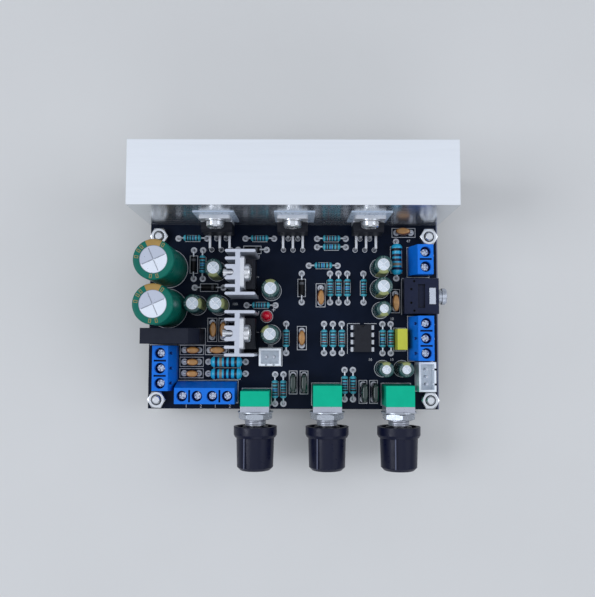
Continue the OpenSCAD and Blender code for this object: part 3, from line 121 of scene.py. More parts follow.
class Shader:
    """Node tree of one material, with short ways to add nodes."""

    def __init__(self, name: str) -> None:
        """Start a material with its principled surface.

        Args:
            name: Name of the material.
        """
        self.material = bpy.data.materials.new(name)
        self.material.use_nodes = True
        self.tree = self.material.node_tree
        self.surface = self.tree.nodes["Principled BSDF"]
        self.place = self.node("ShaderNodeTexCoord").outputs["Object"]

    def node(self, kind: str, inputs: dict | None = None, **settings: object) -> bpy.types.Node:
        """Add a node.

        Args:
            kind: Type name of the node.
            inputs: Value or output socket for each named or numbered input.
            settings: Properties of the node.

        Returns:
            The new node.
        """
        made = self.tree.nodes.new(kind)
        for key, value in settings.items():
            setattr(made, key, value)
        for key, value in (inputs or {}).items():
            self.feed(made, key, value)
        return made

    def feed(self, node: bpy.types.Node, key: str | int, value: object) -> None:
        """Link a socket to an input, or set the input's own value.

        Args:
            node: Node that takes the value.
            key: Name or number of the input.
            value: Output socket, number or colour.
        """
        if isinstance(value, Socket):
            self.tree.links.new(value, node.inputs[key])
        else:
            node.inputs[key].default_value = value

    def noise(self, size: float, stretch: Sequence[float]) -> Socket:
        """Make a cloudy pattern on Object coordinates.

        Args:
            size: Size of the clouds in mm.
            stretch: How much longer they are along X, Y and Z.

        Returns:
            Socket with values from 0 to 1.
        """
        scale = [1 / (size * MM * part) for part in stretch]
        mapped = self.node("ShaderNodeMapping", {"Vector": self.place, "Scale": scale})
        inputs = {"Vector": mapped.outputs["Vector"], "Scale": 1.0, "Detail": NOISE_DETAIL}
        return self.node("ShaderNodeTexNoise", inputs).outputs["Fac"]

    def span(
        self, value: Socket, source: Sequence[float], target: Sequence[float] = (0.0, 1.0)
    ) -> Socket:
        """Map a range of values to another.

        Args:
            value: Socket to map.
            source: Lowest and highest value that come in.
            target: Values that go out for them.

        Returns:
            Socket with the mapped value.
        """
        inputs = {0: value, 1: source[0], 2: source[1], 3: target[0], 4: target[1]}
        return self.node("ShaderNodeMapRange", inputs).outputs["Result"]

    def mix(self, share: Socket, first: Colour | Socket, second: Colour | Socket) -> Socket:
        """Mix two colours.

        Args:
            share: Socket with the second colour's share.
            first: Colour or socket at share 0.
            second: Colour or socket at share 1.

        Returns:
            Socket with the mixed colour.
        """
        inputs = {0: share, 6: first, 7: second}
        return self.node("ShaderNodeMix", inputs, data_type="RGBA").outputs[2]

    def maths(self, operation: str, *values: object) -> Socket:
        """Work with numbers."""
        inputs = dict(enumerate(values))
        return self.node("ShaderNodeMath", inputs, operation=operation).outputs[0]

    def vector(self, operation: str, *values: object) -> Socket:
        """Work with vectors; a length or a product of two is a number."""
        made = self.node("ShaderNodeVectorMath", dict(enumerate(values)), operation=operation)
        return made.outputs["Value" if operation in ("LENGTH", "DOT_PRODUCT") else "Vector"]

    def facing(self, axis: str) -> Socket:
        """Give how far the surface faces along an axis of the object, from -1 to 1."""
        normal = self.node("ShaderNodeTexCoord").outputs["Normal"]
        return self.node("ShaderNodeSeparateXYZ", {"Vector": normal}).outputs[axis]

    def openness(self, reach: float) -> Socket:
        """Give how open the surface is within a reach in mm, from 0 to 1."""
        inputs = {"Distance": reach * MM}
        return self.node("ShaderNodeAmbientOcclusion", inputs, samples=OPEN_SAMPLES).outputs["AO"]


@dataclass(frozen=True)
class Finish:
    """A surface with two close tones, grain in its gloss, fine relief and eased edges.

    Sizes are in mm. The darker patches keep the share `dark` of the colour.
    """

    name: str
    colour: int
    roughness: float = 0.4
    metallic: float = 0.0
    dark: float = 0.8
    patch: float = 2.0
    grain: float = 0.25
    spread: float = 0.08
    relief: float = 0.002
    stretch: tuple[float, float, float] = (1.0, 1.0, 1.0)
    edge: float = 0.12
    coat: float = 0.0
    coat_roughness: float = 0.08
    specular: float = 0.5
    glow: float = 0.0
    glow_depth: float = 3.0
    smoothest: float = 0.03

    def material(self) -> bpy.types.Material:
        """Give the material of this finish, made once."""
        return bpy.data.materials.get(self.name) or self.make()

    def make(self) -> bpy.types.Material:
        """Build the node tree.

        Returns:
            The new material.
        """
        shader = Shader(self.name)
        inputs = {
            "Base Color": self.tone(shader), "Roughness": self.gloss(shader),
            "Normal": self.surface_normal(shader), "Metallic": self.metal(shader),
            "Coat Weight": self.coat, "Coat Roughness": self.coat_roughness,
            "Specular IOR Level": self.specular, "Subsurface Weight": self.glow,
            "Subsurface Scale": self.glow_depth * MM, "Subsurface Radius": (1, 1, 1),
        }
        for key, value in inputs.items():
            shader.feed(shader.surface, key, value)
        return shader.material

    def tone(self, shader: Shader) -> Socket:
        """Mix the colour with its darker patches.

        Args:
            shader: Tree of the material.

        Returns:
            Socket with the colour.
        """
        full = linear(self.colour)
        clouds = shader.span(shader.noise(self.patch, self.stretch), CLOUDS)
        return shader.mix(clouds, full, shade(full, self.dark))

    def gloss(self, shader: Shader) -> Socket:
        """Vary the roughness with the grain.

        Args:
            shader: Tree of the material.

        Returns:
            Socket with the roughness.
        """
        low, high = max(self.smoothest, self.roughness - self.spread), self.roughness + self.spread
        return shader.span(shader.noise(self.patch / 2, self.stretch), GRAINS, (low, high))

    def metal(self, shader: Shader) -> float | Socket:
        """Give the share of bare metal, here the same all over."""
        return self.metallic

    def surface_normal(self, shader: Shader) -> Socket:
        """Ease the edges and add the grain's relief.

        Args:
            shader: Tree of the material.

        Returns:
            Socket with the normal.
        """
        radius = {"Radius": self.edge * MM}
        eased = shader.node("ShaderNodeBevel", radius, samples=EDGE_SAMPLES)
        inputs = {
            "Distance": self.relief * MM,
            "Height": shader.noise(self.grain, self.stretch),
            "Normal": eased.outputs["Normal"],
        }
        return shader.node("ShaderNodeBump", inputs).outputs["Normal"]


@dataclass(frozen=True)
class MaskFinish(Finish):
    """Solder mask on the board's faces, bare laminate on its edges, and a partly painted highlight
    on its right edge.
    """

    laminate: int = 0xB9AE8C
    resin: float = 0.7
    weave: float = 0.12
    weave_stretch: tuple[float, float, float] = (6.0, 6.0, 1.0)
    # Colour of the strip on the right edge: partly the pale milled edge, partly a painted highlight
    # of light from the right.
    trim: int = 0x82879A
    lit_edge_from: float = 50.35
    lit_edge_blend: float = 0.1
    level: tuple[float, float] = (0.4, 0.6)

    def tone(self, shader: Shader) -> Socket:
        """Mix the mask with the laminate by the way the surface faces, and paint a pale strip on
        its right edge.

        Args:
            shader: Tree of the material.

        Returns:
            Socket with the colour.
        """
        across = shader.node("ShaderNodeSeparateXYZ", {"Vector": shader.place}).outputs["X"]
        edge = (self.lit_edge_from * MM, (self.lit_edge_from + self.lit_edge_blend) * MM)
        # Pale strip on the right edge only: partly the milled edge, partly a painted highlight; the
        # other edges get none.
        mask = shader.mix(shader.span(across, edge), super().tone(shader), linear(self.trim))
        pale = linear(self.laminate)
        weave = shader.noise(self.weave, self.weave_stretch)
        side = shader.mix(weave, pale, shade(pale, self.resin))
        flat = shader.maths("ABSOLUTE", shader.facing("Z"))
        return shader.mix(shader.span(flat, self.level), side, mask)


@dataclass(frozen=True)
class ExtrudedFinish(Finish):
    """Extruded aluminium: satin where it was sawn, and glossier along its drawn faces."""

    drawn: tuple[float, float] = (0.15, 0.28)
    drawn_metal: float = 0.9
    drawn_from: tuple[float, float] = (0.5, 0.8)
    lines: float = 0.5
    line_stretch: tuple[float, float, float] = (60.0, 1.0, 1.0)

    def upright(self, shader: Shader) -> Socket:
        """Give 1 on the drawn faces and 0 on the sawn ones."""
        return shader.span(shader.maths("ABSOLUTE", shader.facing("Y")), self.drawn_from)

    def metal(self, shader: Shader) -> float | Socket:
        """Make the drawn faces barer than the sawn ones."""
        return shader.span(self.upright(shader), (0.0, 1.0), (self.metallic, self.drawn_metal))

    def gloss(self, shader: Shader) -> Socket:
        """Make the drawn faces glossier than the sawn ones.

        Args:
            shader: Tree of the material.

        Returns:
            Socket with the roughness.
        """
        lines = shader.noise(self.lines, self.line_stretch)
        glossy = shader.span(lines, GRAINS, self.drawn)
        inputs = {0: self.upright(shader), 2: super().gloss(shader), 3: glossy}
        return shader.node("ShaderNodeMix", inputs, data_type="FLOAT").outputs[0]


@dataclass(frozen=True)
class DippedFinish(Finish):
    """Dipped resin, with painted shade on its sides where the surface turns down over the edges."""

    # Darker colour painted on the sides as shade; the tops keep the lighter colour as if lit from
    # above.
    rim: int = 0
    side_shade_from: float = 0.9
    side_shade_full: float = 0.3

    def tone(self, shader: Shader) -> Socket:
        """Paint shade on the sides: mix the top's colour with the darker rim colour by the way the
        surface faces.
        """
        share = shader.span(shader.facing("Z"), (self.side_shade_full, self.side_shade_from), (1.0, 0.0))
        return shader.mix(share, super().tone(shader), linear(self.rim))


@dataclass(frozen=True)
class CavityFinish(Finish):
    """A surface with painted shade inside its holes and slots, where less light reaches."""

    depth: float = 2.5
    # Colour of the painted shade deep in the holes and slots.
    inside: int = 0
    shade_openness: tuple[float, float] = (0.3, 0.75)

    def tone(self, shader: Shader) -> Socket:
        """Paint shade: mix the colour with the dark one inside by how open the surface is."""
        share = shader.span(shader.openness(self.depth), self.shade_openness, (1.0, 0.0))
        return shader.mix(share, super().tone(shader), linear(self.inside))


@dataclass(frozen=True)
class CanFinish(Finish):
    """Tops of aluminium cans, with painted shade on one half of each top and painted light or shade
    in the score lines.
    """

    axes: tuple[tuple[float, float], ...] = ()
    turn: float = 0.0
    # Tone of the half that gets painted shade, for the brushed metal's uneven reflection.
    shaded: int = 0
    blend: float = 0.05
    # Colour painted in the score lines: painted shade when darker than the top, painted highlight
    # when lighter.
    score_light_and_shade: int = 0
    score_width: float = 0.3
    score_shut: tuple[float, float] = (0.6, 0.9)

    def tone(self, shader: Shader) -> Socket:
        """Paint shade on one half of the nearest can's top, and paint the score lines in their
        given colour.

        Args:
            shader: Tree of the material.

        Returns:
            Socket with the colour.
        """
        angle = math.radians(self.turn + 90)
        across = (math.cos(angle), math.sin(angle), 0)
        side = shader.vector("DOT_PRODUCT", self.nearest(shader), across)
        share = shader.span(side, (-self.blend * MM, self.blend * MM))
        # Painted shade on one half of the top.
        halves = shader.mix(share, super().tone(shader), linear(self.shaded))
        # Painted light or shade in the score grooves, found by how shut the surface is.
        scored = shader.span(shader.openness(self.score_width), self.score_shut, (1.0, 0.0))
        return shader.mix(scored, halves, linear(self.score_light_and_shade))

    def nearest(self, shader: Shader) -> Socket:
        """Give the level way from the nearest can's axis to the surface.

        Args:
            shader: Tree of the material.

        Returns:
            Socket with the offset.
        """
        best = far = None
        for x, y in self.axes:
            offset = shader.vector("SUBTRACT", shader.place, (x * MM, y * MM, 0))
            flat = shader.vector("MULTIPLY", offset, (1, 1, 0))
            reach = shader.vector("LENGTH", flat)
            if best is None:
                best, far = flat, reach
                continue
            picked = {0: shader.maths("LESS_THAN", reach, far), 4: best, 5: flat}
            best = shader.node("ShaderNodeMix", picked, data_type="VECTOR").outputs[1]
            far = shader.maths("MINIMUM", far, reach)
        return best


MASK = MaskFinish(
    "black_solder_mask", 0x08152A, dark=0.75, patch=9.0, grain=0.6, relief=0.003, specular=0.08
)
INK = Finish("white_board_ink", 0xD2D5DA, 0.6, dark=0.93, patch=0.8, edge=0.02)
TIN = Finish("tinned_land", 0xC6C9D0, 0.45, 0.25, dark=0.92, patch=0.7, edge=0.03)
SOLDER = Finish("bright_solder", 0x666B74, 0.34, 0.7, dark=0.9, patch=0.8, relief=0.001, edge=0.05)
# Solder grey darkened as painted shade of the hole round each lead.
FILLET = Finish("hole_shaded_solder", 0x4A4E58, 0.36, 0.6, dark=0.85, patch=0.6, relief=0.001, edge=0.05)
LEAD_WIRE = Finish(
    "tinned_wire", 0xCDD1D8, 0.32, 0.5, dark=0.93, patch=0.9, relief=0.001, stretch=(1, 1, 3),
    edge=0.05,
)
# Dark inside colour: painted shade in the narrow gaps and recesses of the standoffs, nuts and
# shafts.
NICKEL = CavityFinish(
    "nickel_plate", 0xD4D7DB, 0.24, 0.85, dark=0.96, spread=0.04, relief=0.0005,
    depth=0.8, inside=0x2A2C30,
)
# Dark inside colour: painted shade in the screws' recesses and slots.
STEEL = CavityFinish(
    "zinc_plated_steel", 0xD9DBDE, 0.26, 0.85, dark=0.95, patch=1.5, spread=0.05, relief=0.0006,
    depth=0.8, inside=0x25272B,
)
# Blue tint of the steel: painted reflection of the blue housing; dark blue inside colour: painted
# shade in the slots.
SCREW = CavityFinish(
    "terminal_screw", 0xCAD4E6, 0.22, 0.8, patch=0.5, grain=0.5, relief=0.008, edge=0.15,
    depth=0.5, inside=0x16264C,
)
# Dark inside colour: painted shade and reflection of the dark surroundings at the barrel's root.
BARREL = CavityFinish(
    "jack_plate", 0xC2C8D2, 0.28, 0.7, dark=0.96, spread=0.03, relief=0.0, edge=0.2,
    depth=1.4, inside=0x2C2F37,
)
# Dark navy inside colour: painted shade of the blue terminal's wells on the contacts.
BRASS = CavityFinish(
    "yellow_brass", 0xC4A15A, 0.3, 0.95, dark=0.93, patch=1.0, relief=0.0006, inside=0x0C1636
)
SINK = ExtrudedFinish(
    "natural_aluminium", 0xEDF1F5, 0.46, 0.35, dark=0.98, patch=1.2, grain=0.4, spread=0.04,
    stretch=(24.0, 1.0, 1.0), relief=0.001, edge=0.2,
)
FIN_METAL = Finish(
    "pressed_aluminium", 0xC8CDD8, 0.42, 0.5, dark=0.95, patch=1.0, stretch=(1, 1, 14),
    relief=0.001, edge=0.15,
)
TAB_METAL = Finish(
    "package_tab", 0xDADDE2, 0.34, 0.4, dark=0.95, patch=1.4, relief=0.001, edge=0.15
)
INSULATOR = Finish("insulating_film", 0xC6D4E6, 0.3, dark=0.95, patch=3.0, edge=0.05)
EPOXY = Finish("moulded_epoxy", 0x151822, 0.5, patch=1.2, grain=0.2, relief=0.005, specular=0.3)
BRIDGE = Finish(
    "rectifier_epoxy", 0x0F1628, 0.46, dark=0.88, patch=3.0, relief=0.004, specular=0.25, edge=0.35
)
# Painted shade on one half of each top, and darker painted shade in the score lines.
CAN = CanFinish(
    "filter_can", 0xE4EAF3, 0.3, 0.6, dark=0.97, patch=2.5, spread=0.03, relief=0.0, edge=0.05,
    turn=24.0, shaded=0xBCC2D0, score_light_and_shade=0x848A96,
)
# Painted shade on one half of each top, and a painted highlight in the score lines.
SMALL_CAN = CanFinish(
    "small_can", 0xDCE5EE, 0.3, 0.5, dark=0.96, spread=0.04, relief=0.0, edge=0.05,
    turn=-45.0, shaded=0xC9D3DC, score_light_and_shade=0xFAFCFF,
)
SLEEVE = Finish("green_sleeve", 0x057060, 0.34, dark=0.85, patch=5.0, specular=0.2, edge=0.3)
SMALL_SLEEVE = Finish("teal_sleeve", 0x1F4E4C, 0.24, coat=0.4, edge=0.2)
FILTER_STRIPE = Finish("gold_stripe", 0xAE8C4E, 0.36, dark=0.9, specular=0.3)
SMALL_STRIPE = Finish("pale_stripe", 0x98A06A, 0.36, dark=0.85, patch=0.8, specular=0.3)
SMALL_MARK = Finish("grey_mark", 0x8FA09C, 0.36, dark=0.9, patch=0.8)
ENAMEL = Finish("resistor_enamel", 0x42AFC4, 0.34, dark=0.88, patch=1.2, coat=0.15, relief=0.004)
POWER_ENAMEL = Finish("power_enamel", 0x26B2DC, 0.32, dark=0.9, coat=0.2, relief=0.004)
DIODE = Finish("diode_epoxy", 0x0A0B0F, 0.5, dark=0.85, patch=1.0, relief=0.004, specular=0.2)
DIODE_BAND = Finish("cathode_band", 0x4A4D54, 0.45, dark=0.9, patch=0.8)
# Brown rim colour: painted shade on the sides of the orange bodies.
CERAMIC = DippedFinish(
    "orange_dip", 0xB98442, 0.32, dark=0.66, patch=1.6, coat=0.3, grain=0.7, relief=0.006,
    rim=0x6A3212, side_shade_from=0.99,
)
# Near-black rim colour: painted shade on the sides of the green bodies.
FILM = DippedFinish(
    "green_dip", 0x10302A, 0.2, dark=0.4, patch=0.8, coat=0.4, grain=0.6, relief=0.03,
    stretch=(1.0, 8.0, 1.0), rim=0x060D0B,
)
BOX_YELLOW = Finish(
    "yellow_case", 0xC9CC44, 0.42, dark=0.94, patch=1.5, relief=0.003, specular=0.3, edge=0.25
)
LENS = Finish("red_lens", 0xE00A34, 0.14, dark=0.88, patch=1.5, coat=0.4, relief=0.0, glow=0.3)
NYLON = Finish("white_nylon", 0xF3F9FF, 0.45, dark=0.98, relief=0.003, edge=0.15)
# Near-black inside colour: painted shade in the housing's recess and holes.
JACK_BLACK = CavityFinish(
    "jack_plastic", 0x0D1836, 0.48, dark=0.85, relief=0.005, specular=0.25, edge=0.15,
    depth=1.2, inside=0x05060A,
)
POT_GREEN = Finish(
    "green_plastic", 0x08BC95, 0.45, dark=0.93, patch=3.0, relief=0.004, specular=0.1, edge=0.2
)
CONTROL_NUT = Finish(
    "bright_nut", 0xB2B8C0, 0.24, 0.45, dark=0.96, patch=1.2, relief=0.0006, edge=0.15
)
POT_METAL = Finish("control_front", 0xB2B6C0, 0.34, 0.6, dark=0.95, patch=1.2, relief=0.0008)
KNOB = Finish("satin_knob", 0x0A102A, 0.34, dark=0.9, patch=2.5, grain=0.2, specular=0.25, edge=0.3)
# Lighter grey strip along the crest of each knob's rib.
POINTER = Finish("pointer_strip", 0x525870, 0.5, dark=0.93, patch=0.8, edge=0.03)
# Dark navy inside colour: painted shade in the wells, slots and entry holes.
TERMINAL = CavityFinish(
    "blue_terminal", 0x0C76E6, dark=0.94, patch=2.5, relief=0.003, specular=0.2, edge=0.15,
    depth=2.0, inside=0x061A5A,
)
FLOOR = Finish(
    "pale_floor", 0xDDDDDB, 0.8, dark=0.98, patch=60.0, grain=8.0, relief=0.006, specular=0.2,
    edge=0.0,
)


class Band(Enum):
    """Colours of the colour bands."""

    BLACK = 0x0B0F1C
    BROWN = 0x4A2C28
    RED = 0x7D2C34
    TAN = 0x8C8272
    BLUE = 0x2F62AE
    NAVY = 0x0C1440
    VIOLET = 0x3E2A5C

    def paint(self) -> Finish:
        """Give the finish of this band."""
        return Finish(f"band_{self.name.lower()}", self.value, patch=0.6, relief=0.003)


class Run(Enum):
    """Direction that a lying part runs in, with its turn about +Z in degrees."""

    ALONG_X = 0.0
    ALONG_Y = 90.0


@dataclass(frozen=True)
class Island:
    """Box of one separate solid of a CAD node, in mm."""

    low: Vector
    high: Vector

    @property
    def size(self) -> Vector:
        """Size of the box."""
        return self.high - self.low

    @property
    def centre(self) -> Vector:
        """Centre of the box."""
        return (self.low + self.high) / 2

    @property
    def length(self) -> float:
        """Longer level side."""
        return max(self.size.xy)

    @property
    def run(self) -> Run:
        """Direction of the longer level side."""
        return Run.ALONG_X if self.size.x >= self.size.y else Run.ALONG_Y

    def place(self, height: float | None = None) -> Matrix:
        """Give the place of the solid's centre, turned along its run.

        Args:
            height: Height to use in place of the centre's.

        Returns:
            Matrix whose X runs along the solid.
        """
        x, y, z = self.centre
        return moved(x, y, z if height is None else height) @ turned(self.run.value)


def node_box(node: str) -> Island:
    """Give the box of a whole CAD node in mm."""
    low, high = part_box(node)
    return Island(low / MM, high / MM)


def islands(node: str) -> list[Island]:
    """Find the separate solids of a CAD node.

    Args:
        node: Name of the node.

    Returns:
        Box of each solid, sorted by X and then Y.
    """
    work = bmesh.new()
    work.from_mesh(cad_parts[node].data)
    bmesh.ops.scale(work, vec=(1 / MM,) * 3, verts=work.verts)
    bmesh.ops.remove_doubles(work, verts=work.verts, dist=MERGE)
    left = set(work.verts)
    found = []
    while left:
        stack = [left.pop()]
        low, high = stack[0].co.copy(), stack[0].co.copy()
        while stack:
            vert = stack.pop()
            low = Vector(map(min, low, vert.co))
            high = Vector(map(max, high, vert.co))
            for edge in vert.link_edges:
                other = edge.other_vert(vert)
                if other in left:
                    left.remove(other)
                    stack.append(other)
        found.append(Island(low, high))
    work.free()
    return sorted(found, key=lambda one: (round(one.centre.x, 2), round(one.centre.y, 2)))


def arc(middle: tuple[float, float], radius: float, angles: Sequence[float]) -> Points:
    """Give the points of a circle at some angles in degrees.

    Args:
        middle: Centre of the circle.
        radius: Its radius.
        angles: Where the points are.

    Returns:
        The points in the order of their angles.
    """
    x, y = middle
    turns = [math.radians(angle) for angle in angles]
    return [(x + radius * math.cos(turn), y + radius * math.sin(turn)) for turn in turns]


def lathe(profile: Points, steps: int, closed: bool = False) -> Shape:
    """Spin a profile round Z.

    Args:
        profile: Radius and height of each point.
        steps: Number of faces round the axis.
        closed: Whether the last point joins the first.

    Returns:
        The shape in mm.
    """
    shape = bmesh.new()
    points = [shape.verts.new((radius, 0, height)) for radius, height in profile]
    pairs = list(zip(points, points[1:]))
    if closed:
        pairs.append((points[-1], points[0]))
    edges = [shape.edges.new(pair) for pair in pairs]
    bmesh.ops.spin(
        shape, geom=[*points, *edges], cent=(0, 0, 0), axis=(0, 0, 1), dvec=(0, 0, 0),
        angle=math.tau, steps=steps, use_merge=True,
    )
    bmesh.ops.remove_doubles(shape, verts=shape.verts, dist=MERGE)
    bmesh.ops.recalc_face_normals(shape, faces=shape.faces)
    return shape


def raised(shape: Shape, height: float) -> Shape:
    """Give flat faces a thickness upwards.

    Args:
        shape: Flat shape at height 0.
        height: Thickness.

    Returns:
        The same shape, closed.
    """
    grown = bmesh.ops.extrude_face_region(shape, geom=list(shape.faces))["geom"]
    lifted = [part for part in grown if isinstance(part, bmesh.types.BMVert)]
    bmesh.ops.translate(shape, vec=(0, 0, height), verts=lifted)
    bmesh.ops.recalc_face_normals(shape, faces=shape.faces)
    return shape


def sheet(length: float, width: float) -> Shape:
    """Make a flat rectangle on the XY plane, centred.

    Args:
        length: Size along X.
        width: Size along Y.

    Returns:
        The shape in mm.
    """
    shape = bmesh.new()
    bmesh.ops.create_grid(shape, x_segments=1, y_segments=1, size=0.5)
    bmesh.ops.scale(shape, vec=(length, width, 1), verts=shape.verts)
    return shape


def slab(length: float, width: float, height: float) -> Shape:
    """Make a flat bar on the XY plane, centred."""
    return raised(sheet(length, width), height)


def outline(length: float, width: float, line: float, height: float) -> Shape:
    """Make a printed rectangle of one line.

    Args:
        length: Outer size along X.
        width: Outer size along Y.
        line: Width of the line.
        height: Thickness of the print.

    Returns:
        The shape in mm.
    """
    shape = sheet(length, width)
    inner = list(shape.faces)
    bmesh.ops.inset_region(
        shape, faces=inner, thickness=line, use_even_offset=True, use_boundary=True
    )
    bmesh.ops.delete(shape, geom=inner, context="FACES")
    return raised(shape, height)


def numeral(digits: str, height: float, thickness: float) -> Shape:
    """Make printed digits or signs, centred.

    Args:
        digits: What is printed.
        height: Height of a digit.
        thickness: Thickness of the print.

    Returns:
        The shape in mm.
    """
    curve = bpy.data.curves.new("digits", "FONT")
    curve.body = digits
    curve.size = height / DIGIT_SHARE
    curve.align_x = curve.align_y = "CENTER"
    curve.fill_mode = "FRONT"
    curve.resolution_u = DIGIT_STEPS
    holder = bpy.data.objects.new("digits", curve)
    shape = bmesh.new()
    shape.from_mesh(holder.to_mesh())
    holder.to_mesh_clear()
    bpy.data.objects.remove(holder)
    bpy.data.curves.remove(curve)
    bmesh.ops.remove_doubles(shape, verts=shape.verts, dist=MERGE)
    return raised(shape, thickness)


def helix(radius: float, pitch: float, turns: float, depth: float) -> Shape:
    """Make the ridge of a screw thread round Z, rising from height 0.

    Args:
        radius: Radius at the ridge's foot.
        pitch: Rise of one turn.
        turns: Number of turns.
        depth: Height of the ridge.

    Returns:
        The shape in mm.
    """
    foot, root = pitch * THREAD_FOOT, radius - depth / 2
    shape = bmesh.new()
    section = ((root, 0, -foot), (radius + depth, 0, 0), (root, 0, foot))
    face = shape.faces.new([shape.verts.new(spot) for spot in section])
    bmesh.ops.spin(
        shape, geom=[face, *face.edges, *face.verts], cent=(0, 0, 0), axis=(0, 0, 1),
        dvec=(0, 0, pitch / THREAD_STEPS), angle=math.tau * turns,
        steps=round(THREAD_STEPS * turns),
    )
    bmesh.ops.recalc_face_normals(shape, faces=shape.faces)
    return shape


def pebble(size: tuple[float, float, float], rounds: int, taper: float) -> Shape:
    """Make a dipped blob: a cut cube that is smoothed, brought back to its size and drawn in.

    Args:
        size: Size along X, Y and Z.
        rounds: How often it is smoothed.
        taper: Share of its width that it loses towards its ends.

    Returns:
        The shape in mm, centred.
    """
    shape = bmesh.new()
    bmesh.ops.create_cube(shape, size=1.0)
    bmesh.ops.subdivide_edges(shape, edges=shape.edges, cuts=PEBBLE_CUTS, use_grid_fill=True)
    bmesh.ops.scale(shape, vec=size, verts=shape.verts)
    for _ in range(rounds):
        bmesh.ops.smooth_vert(
            shape, verts=shape.verts, factor=0.5, use_axis_x=True, use_axis_y=True, use_axis_z=True
        )
    reach = [max(abs(vert.co[axis]) for vert in shape.verts) for axis in range(3)]
    back = [whole / 2 / far for whole, far in zip(size, reach)]
    bmesh.ops.scale(shape, vec=back, verts=shape.verts)
    for vert in shape.verts:
        vert.co.y *= 1 - taper * (2 * vert.co.x / size[0]) ** 2
    return shape


Paint = Finish | Callable[[Vector], Finish]


class Piece:
    """One Blender object, gathered from shapes in mm."""

    def __init__(self, name: str) -> None:
        """Start an empty piece.

        Args:
            name: Name of the object.
        """
        self.name = name
        self.mesh = bmesh.new()
        self.finishes: list[Finish] = []

    def number(self, finish: Finish) -> int:
        """Give the material number of a finish, adding it if it is new.

        Args:
            finish: The finish.

        Returns:
            Its number in this piece.
        """
        if finish not in self.finishes:
            self.finishes.append(finish)
        return self.finishes.index(finish)

    def add(self, shape: Shape, paint: Paint, place: Matrix) -> None:
        """Paint a shape, move it to its place and take it in.

        Args:
            shape: Shape in its own place, which is used up.
            paint: Its finish, or the finish for each face's centre.
            place: Where it goes.
        """
        for face in shape.faces:
            finish = paint if isinstance(paint, Finish) else paint(face.calc_center_median())
            face.material_index = self.number(finish)
            face.smooth = True
        bmesh.ops.transform(shape, matrix=place, verts=shape.verts)
        held = bpy.data.meshes.new("held")
        shape.to_mesh(held)
        shape.free()
        self.mesh.from_mesh(held)
        bpy.data.meshes.remove(held)

    def seat(
        self, body: str, slot: str, stands_for: Sequence[str] = (), crease: float = 40.0
    ) -> None:
        """Make the object and set it on its body.

        Args:
            body: CAD body that carries it.
            slot: Material slot of the record; not used.
            stands_for: CAD nodes that it replaces.
            crease: Angle in degrees past which an edge stays sharp.
        """
        bmesh.ops.scale(self.mesh, vec=(MM,) * 3, verts=self.mesh.verts)
        data = bpy.data.meshes.new(self.name)
        self.mesh.to_mesh(data)
        self.mesh.free()
        data.set_sharp_from_angle(angle=math.radians(crease))
        for finish in self.finishes:
            data.materials.append(finish.material())
        made = link(self.name, data)
        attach(made, body)
        if stands_for:
            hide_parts(*stands_for)
        log.info("%s: %d faces on %s", self.name, len(data.polygons), body)


def dress(finish: Finish, *nodes: str) -> None:
    """Give CAD nodes a finish.

    Args:
        finish: The finish.
        nodes: Names of the nodes.
    """
    for node in nodes:
        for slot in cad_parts[node].material_slots:
            slot.material = finish.material()
        log.info("%s: %s", node, finish.name)


def screws(terminal: str) -> list[str]:
    """Give the nodes of a terminal's screws, in the order of its poles."""
    return sorted(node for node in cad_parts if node.startswith(f"{terminal}_screw_"))


@dataclass
class Viewpoint:
    """Camera above the board, leaning to the heatsink. Sizes are in mm, and the lean in radians."""

    place: tuple[float, float, float] = (2.278, -10.651, 257.98)
    lean: tuple[float, float, float] = (0.0709, 0.0036, 0.0029)
    focal_pixels: float = 700.02
    frame_pixels: float = 597.0
    sensor: float = 36.0
    clip: tuple[float, float] = (10.0, 10000.0)

    def build(self) -> None:
        """Make the camera and set it as the scene's."""
        data = bpy.data.cameras.new("camera")
        data.sensor_width = self.sensor
        data.lens = self.focal_pixels / self.frame_pixels * self.sensor
        data.clip_start, data.clip_end = self.clip[0] * MM, self.clip[1] * MM
        camera = link("camera", data)
        camera.location = Vector(self.place) * MM
        camera.rotation_euler = self.lean
        bpy.context.scene.camera = camera


@dataclass(frozen=True)
class Softbox:
    """An area lamp: its name, place and side in metres, power in watts and cool white tint."""

    name: str
    place: tuple[float, float, float]
    side: float
    power: float
    tint: int = 0xF2F6FF

    def build(self) -> None:
        """Make the lamp and point it at the board."""
        data = bpy.data.lights.new(self.name, "AREA")
        data.shape = "SQUARE"
        data.size = self.side
        data.energy = self.power
        data.color = linear(self.tint)[:3]
        lamp = link(self.name, data)
        lamp.location = self.place
        lamp.rotation_euler = (-Vector(self.place)).to_track_quat("-Z", "Y").to_euler()


@dataclass
class Studio:
    """Pale floor, soft boxes and an even sky. Sizes are in metres."""

    floor_half: float = 3.0
    floor_cuts: int = 8
    sky: int = 0xE8EEF8
    sky_power: float = 0.4
    boxes: tuple[Softbox, ...] = (
        Softbox("key_box", (-0.75, -0.02, 0.75), 0.5, 3.6),
        Softbox("fill_box", (0.7, 0.1, 0.6), 0.6, 2.2),
        Softbox("top_box", (0.0, -0.05, 1.3), 1.2, 3.2),
        Softbox("front_box", (0.1, -0.75, 0.45), 0.6, 1.0),
    )

    def build(self) -> None:
        """Make the floor, the lamps and the world."""
        scene = bpy.context.scene
        scene.view_settings.view_transform = "Standard"
        shape, cuts = bmesh.new(), self.floor_cuts
        bmesh.ops.create_grid(shape, x_segments=cuts, y_segments=cuts, size=self.floor_half)
        data = bpy.data.meshes.new("floor")
        shape.to_mesh(data)
        shape.free()
        data.materials.append(FLOOR.material())
        link("floor", data)
        for box in self.boxes:
            box.build()
        world = bpy.data.worlds.new("sky")
        world.use_nodes = True
        background = world.node_tree.nodes["Background"]
        background.inputs["Color"].default_value = linear(self.sky)
        background.inputs["Strength"].default_value = self.sky_power
        scene.world = world


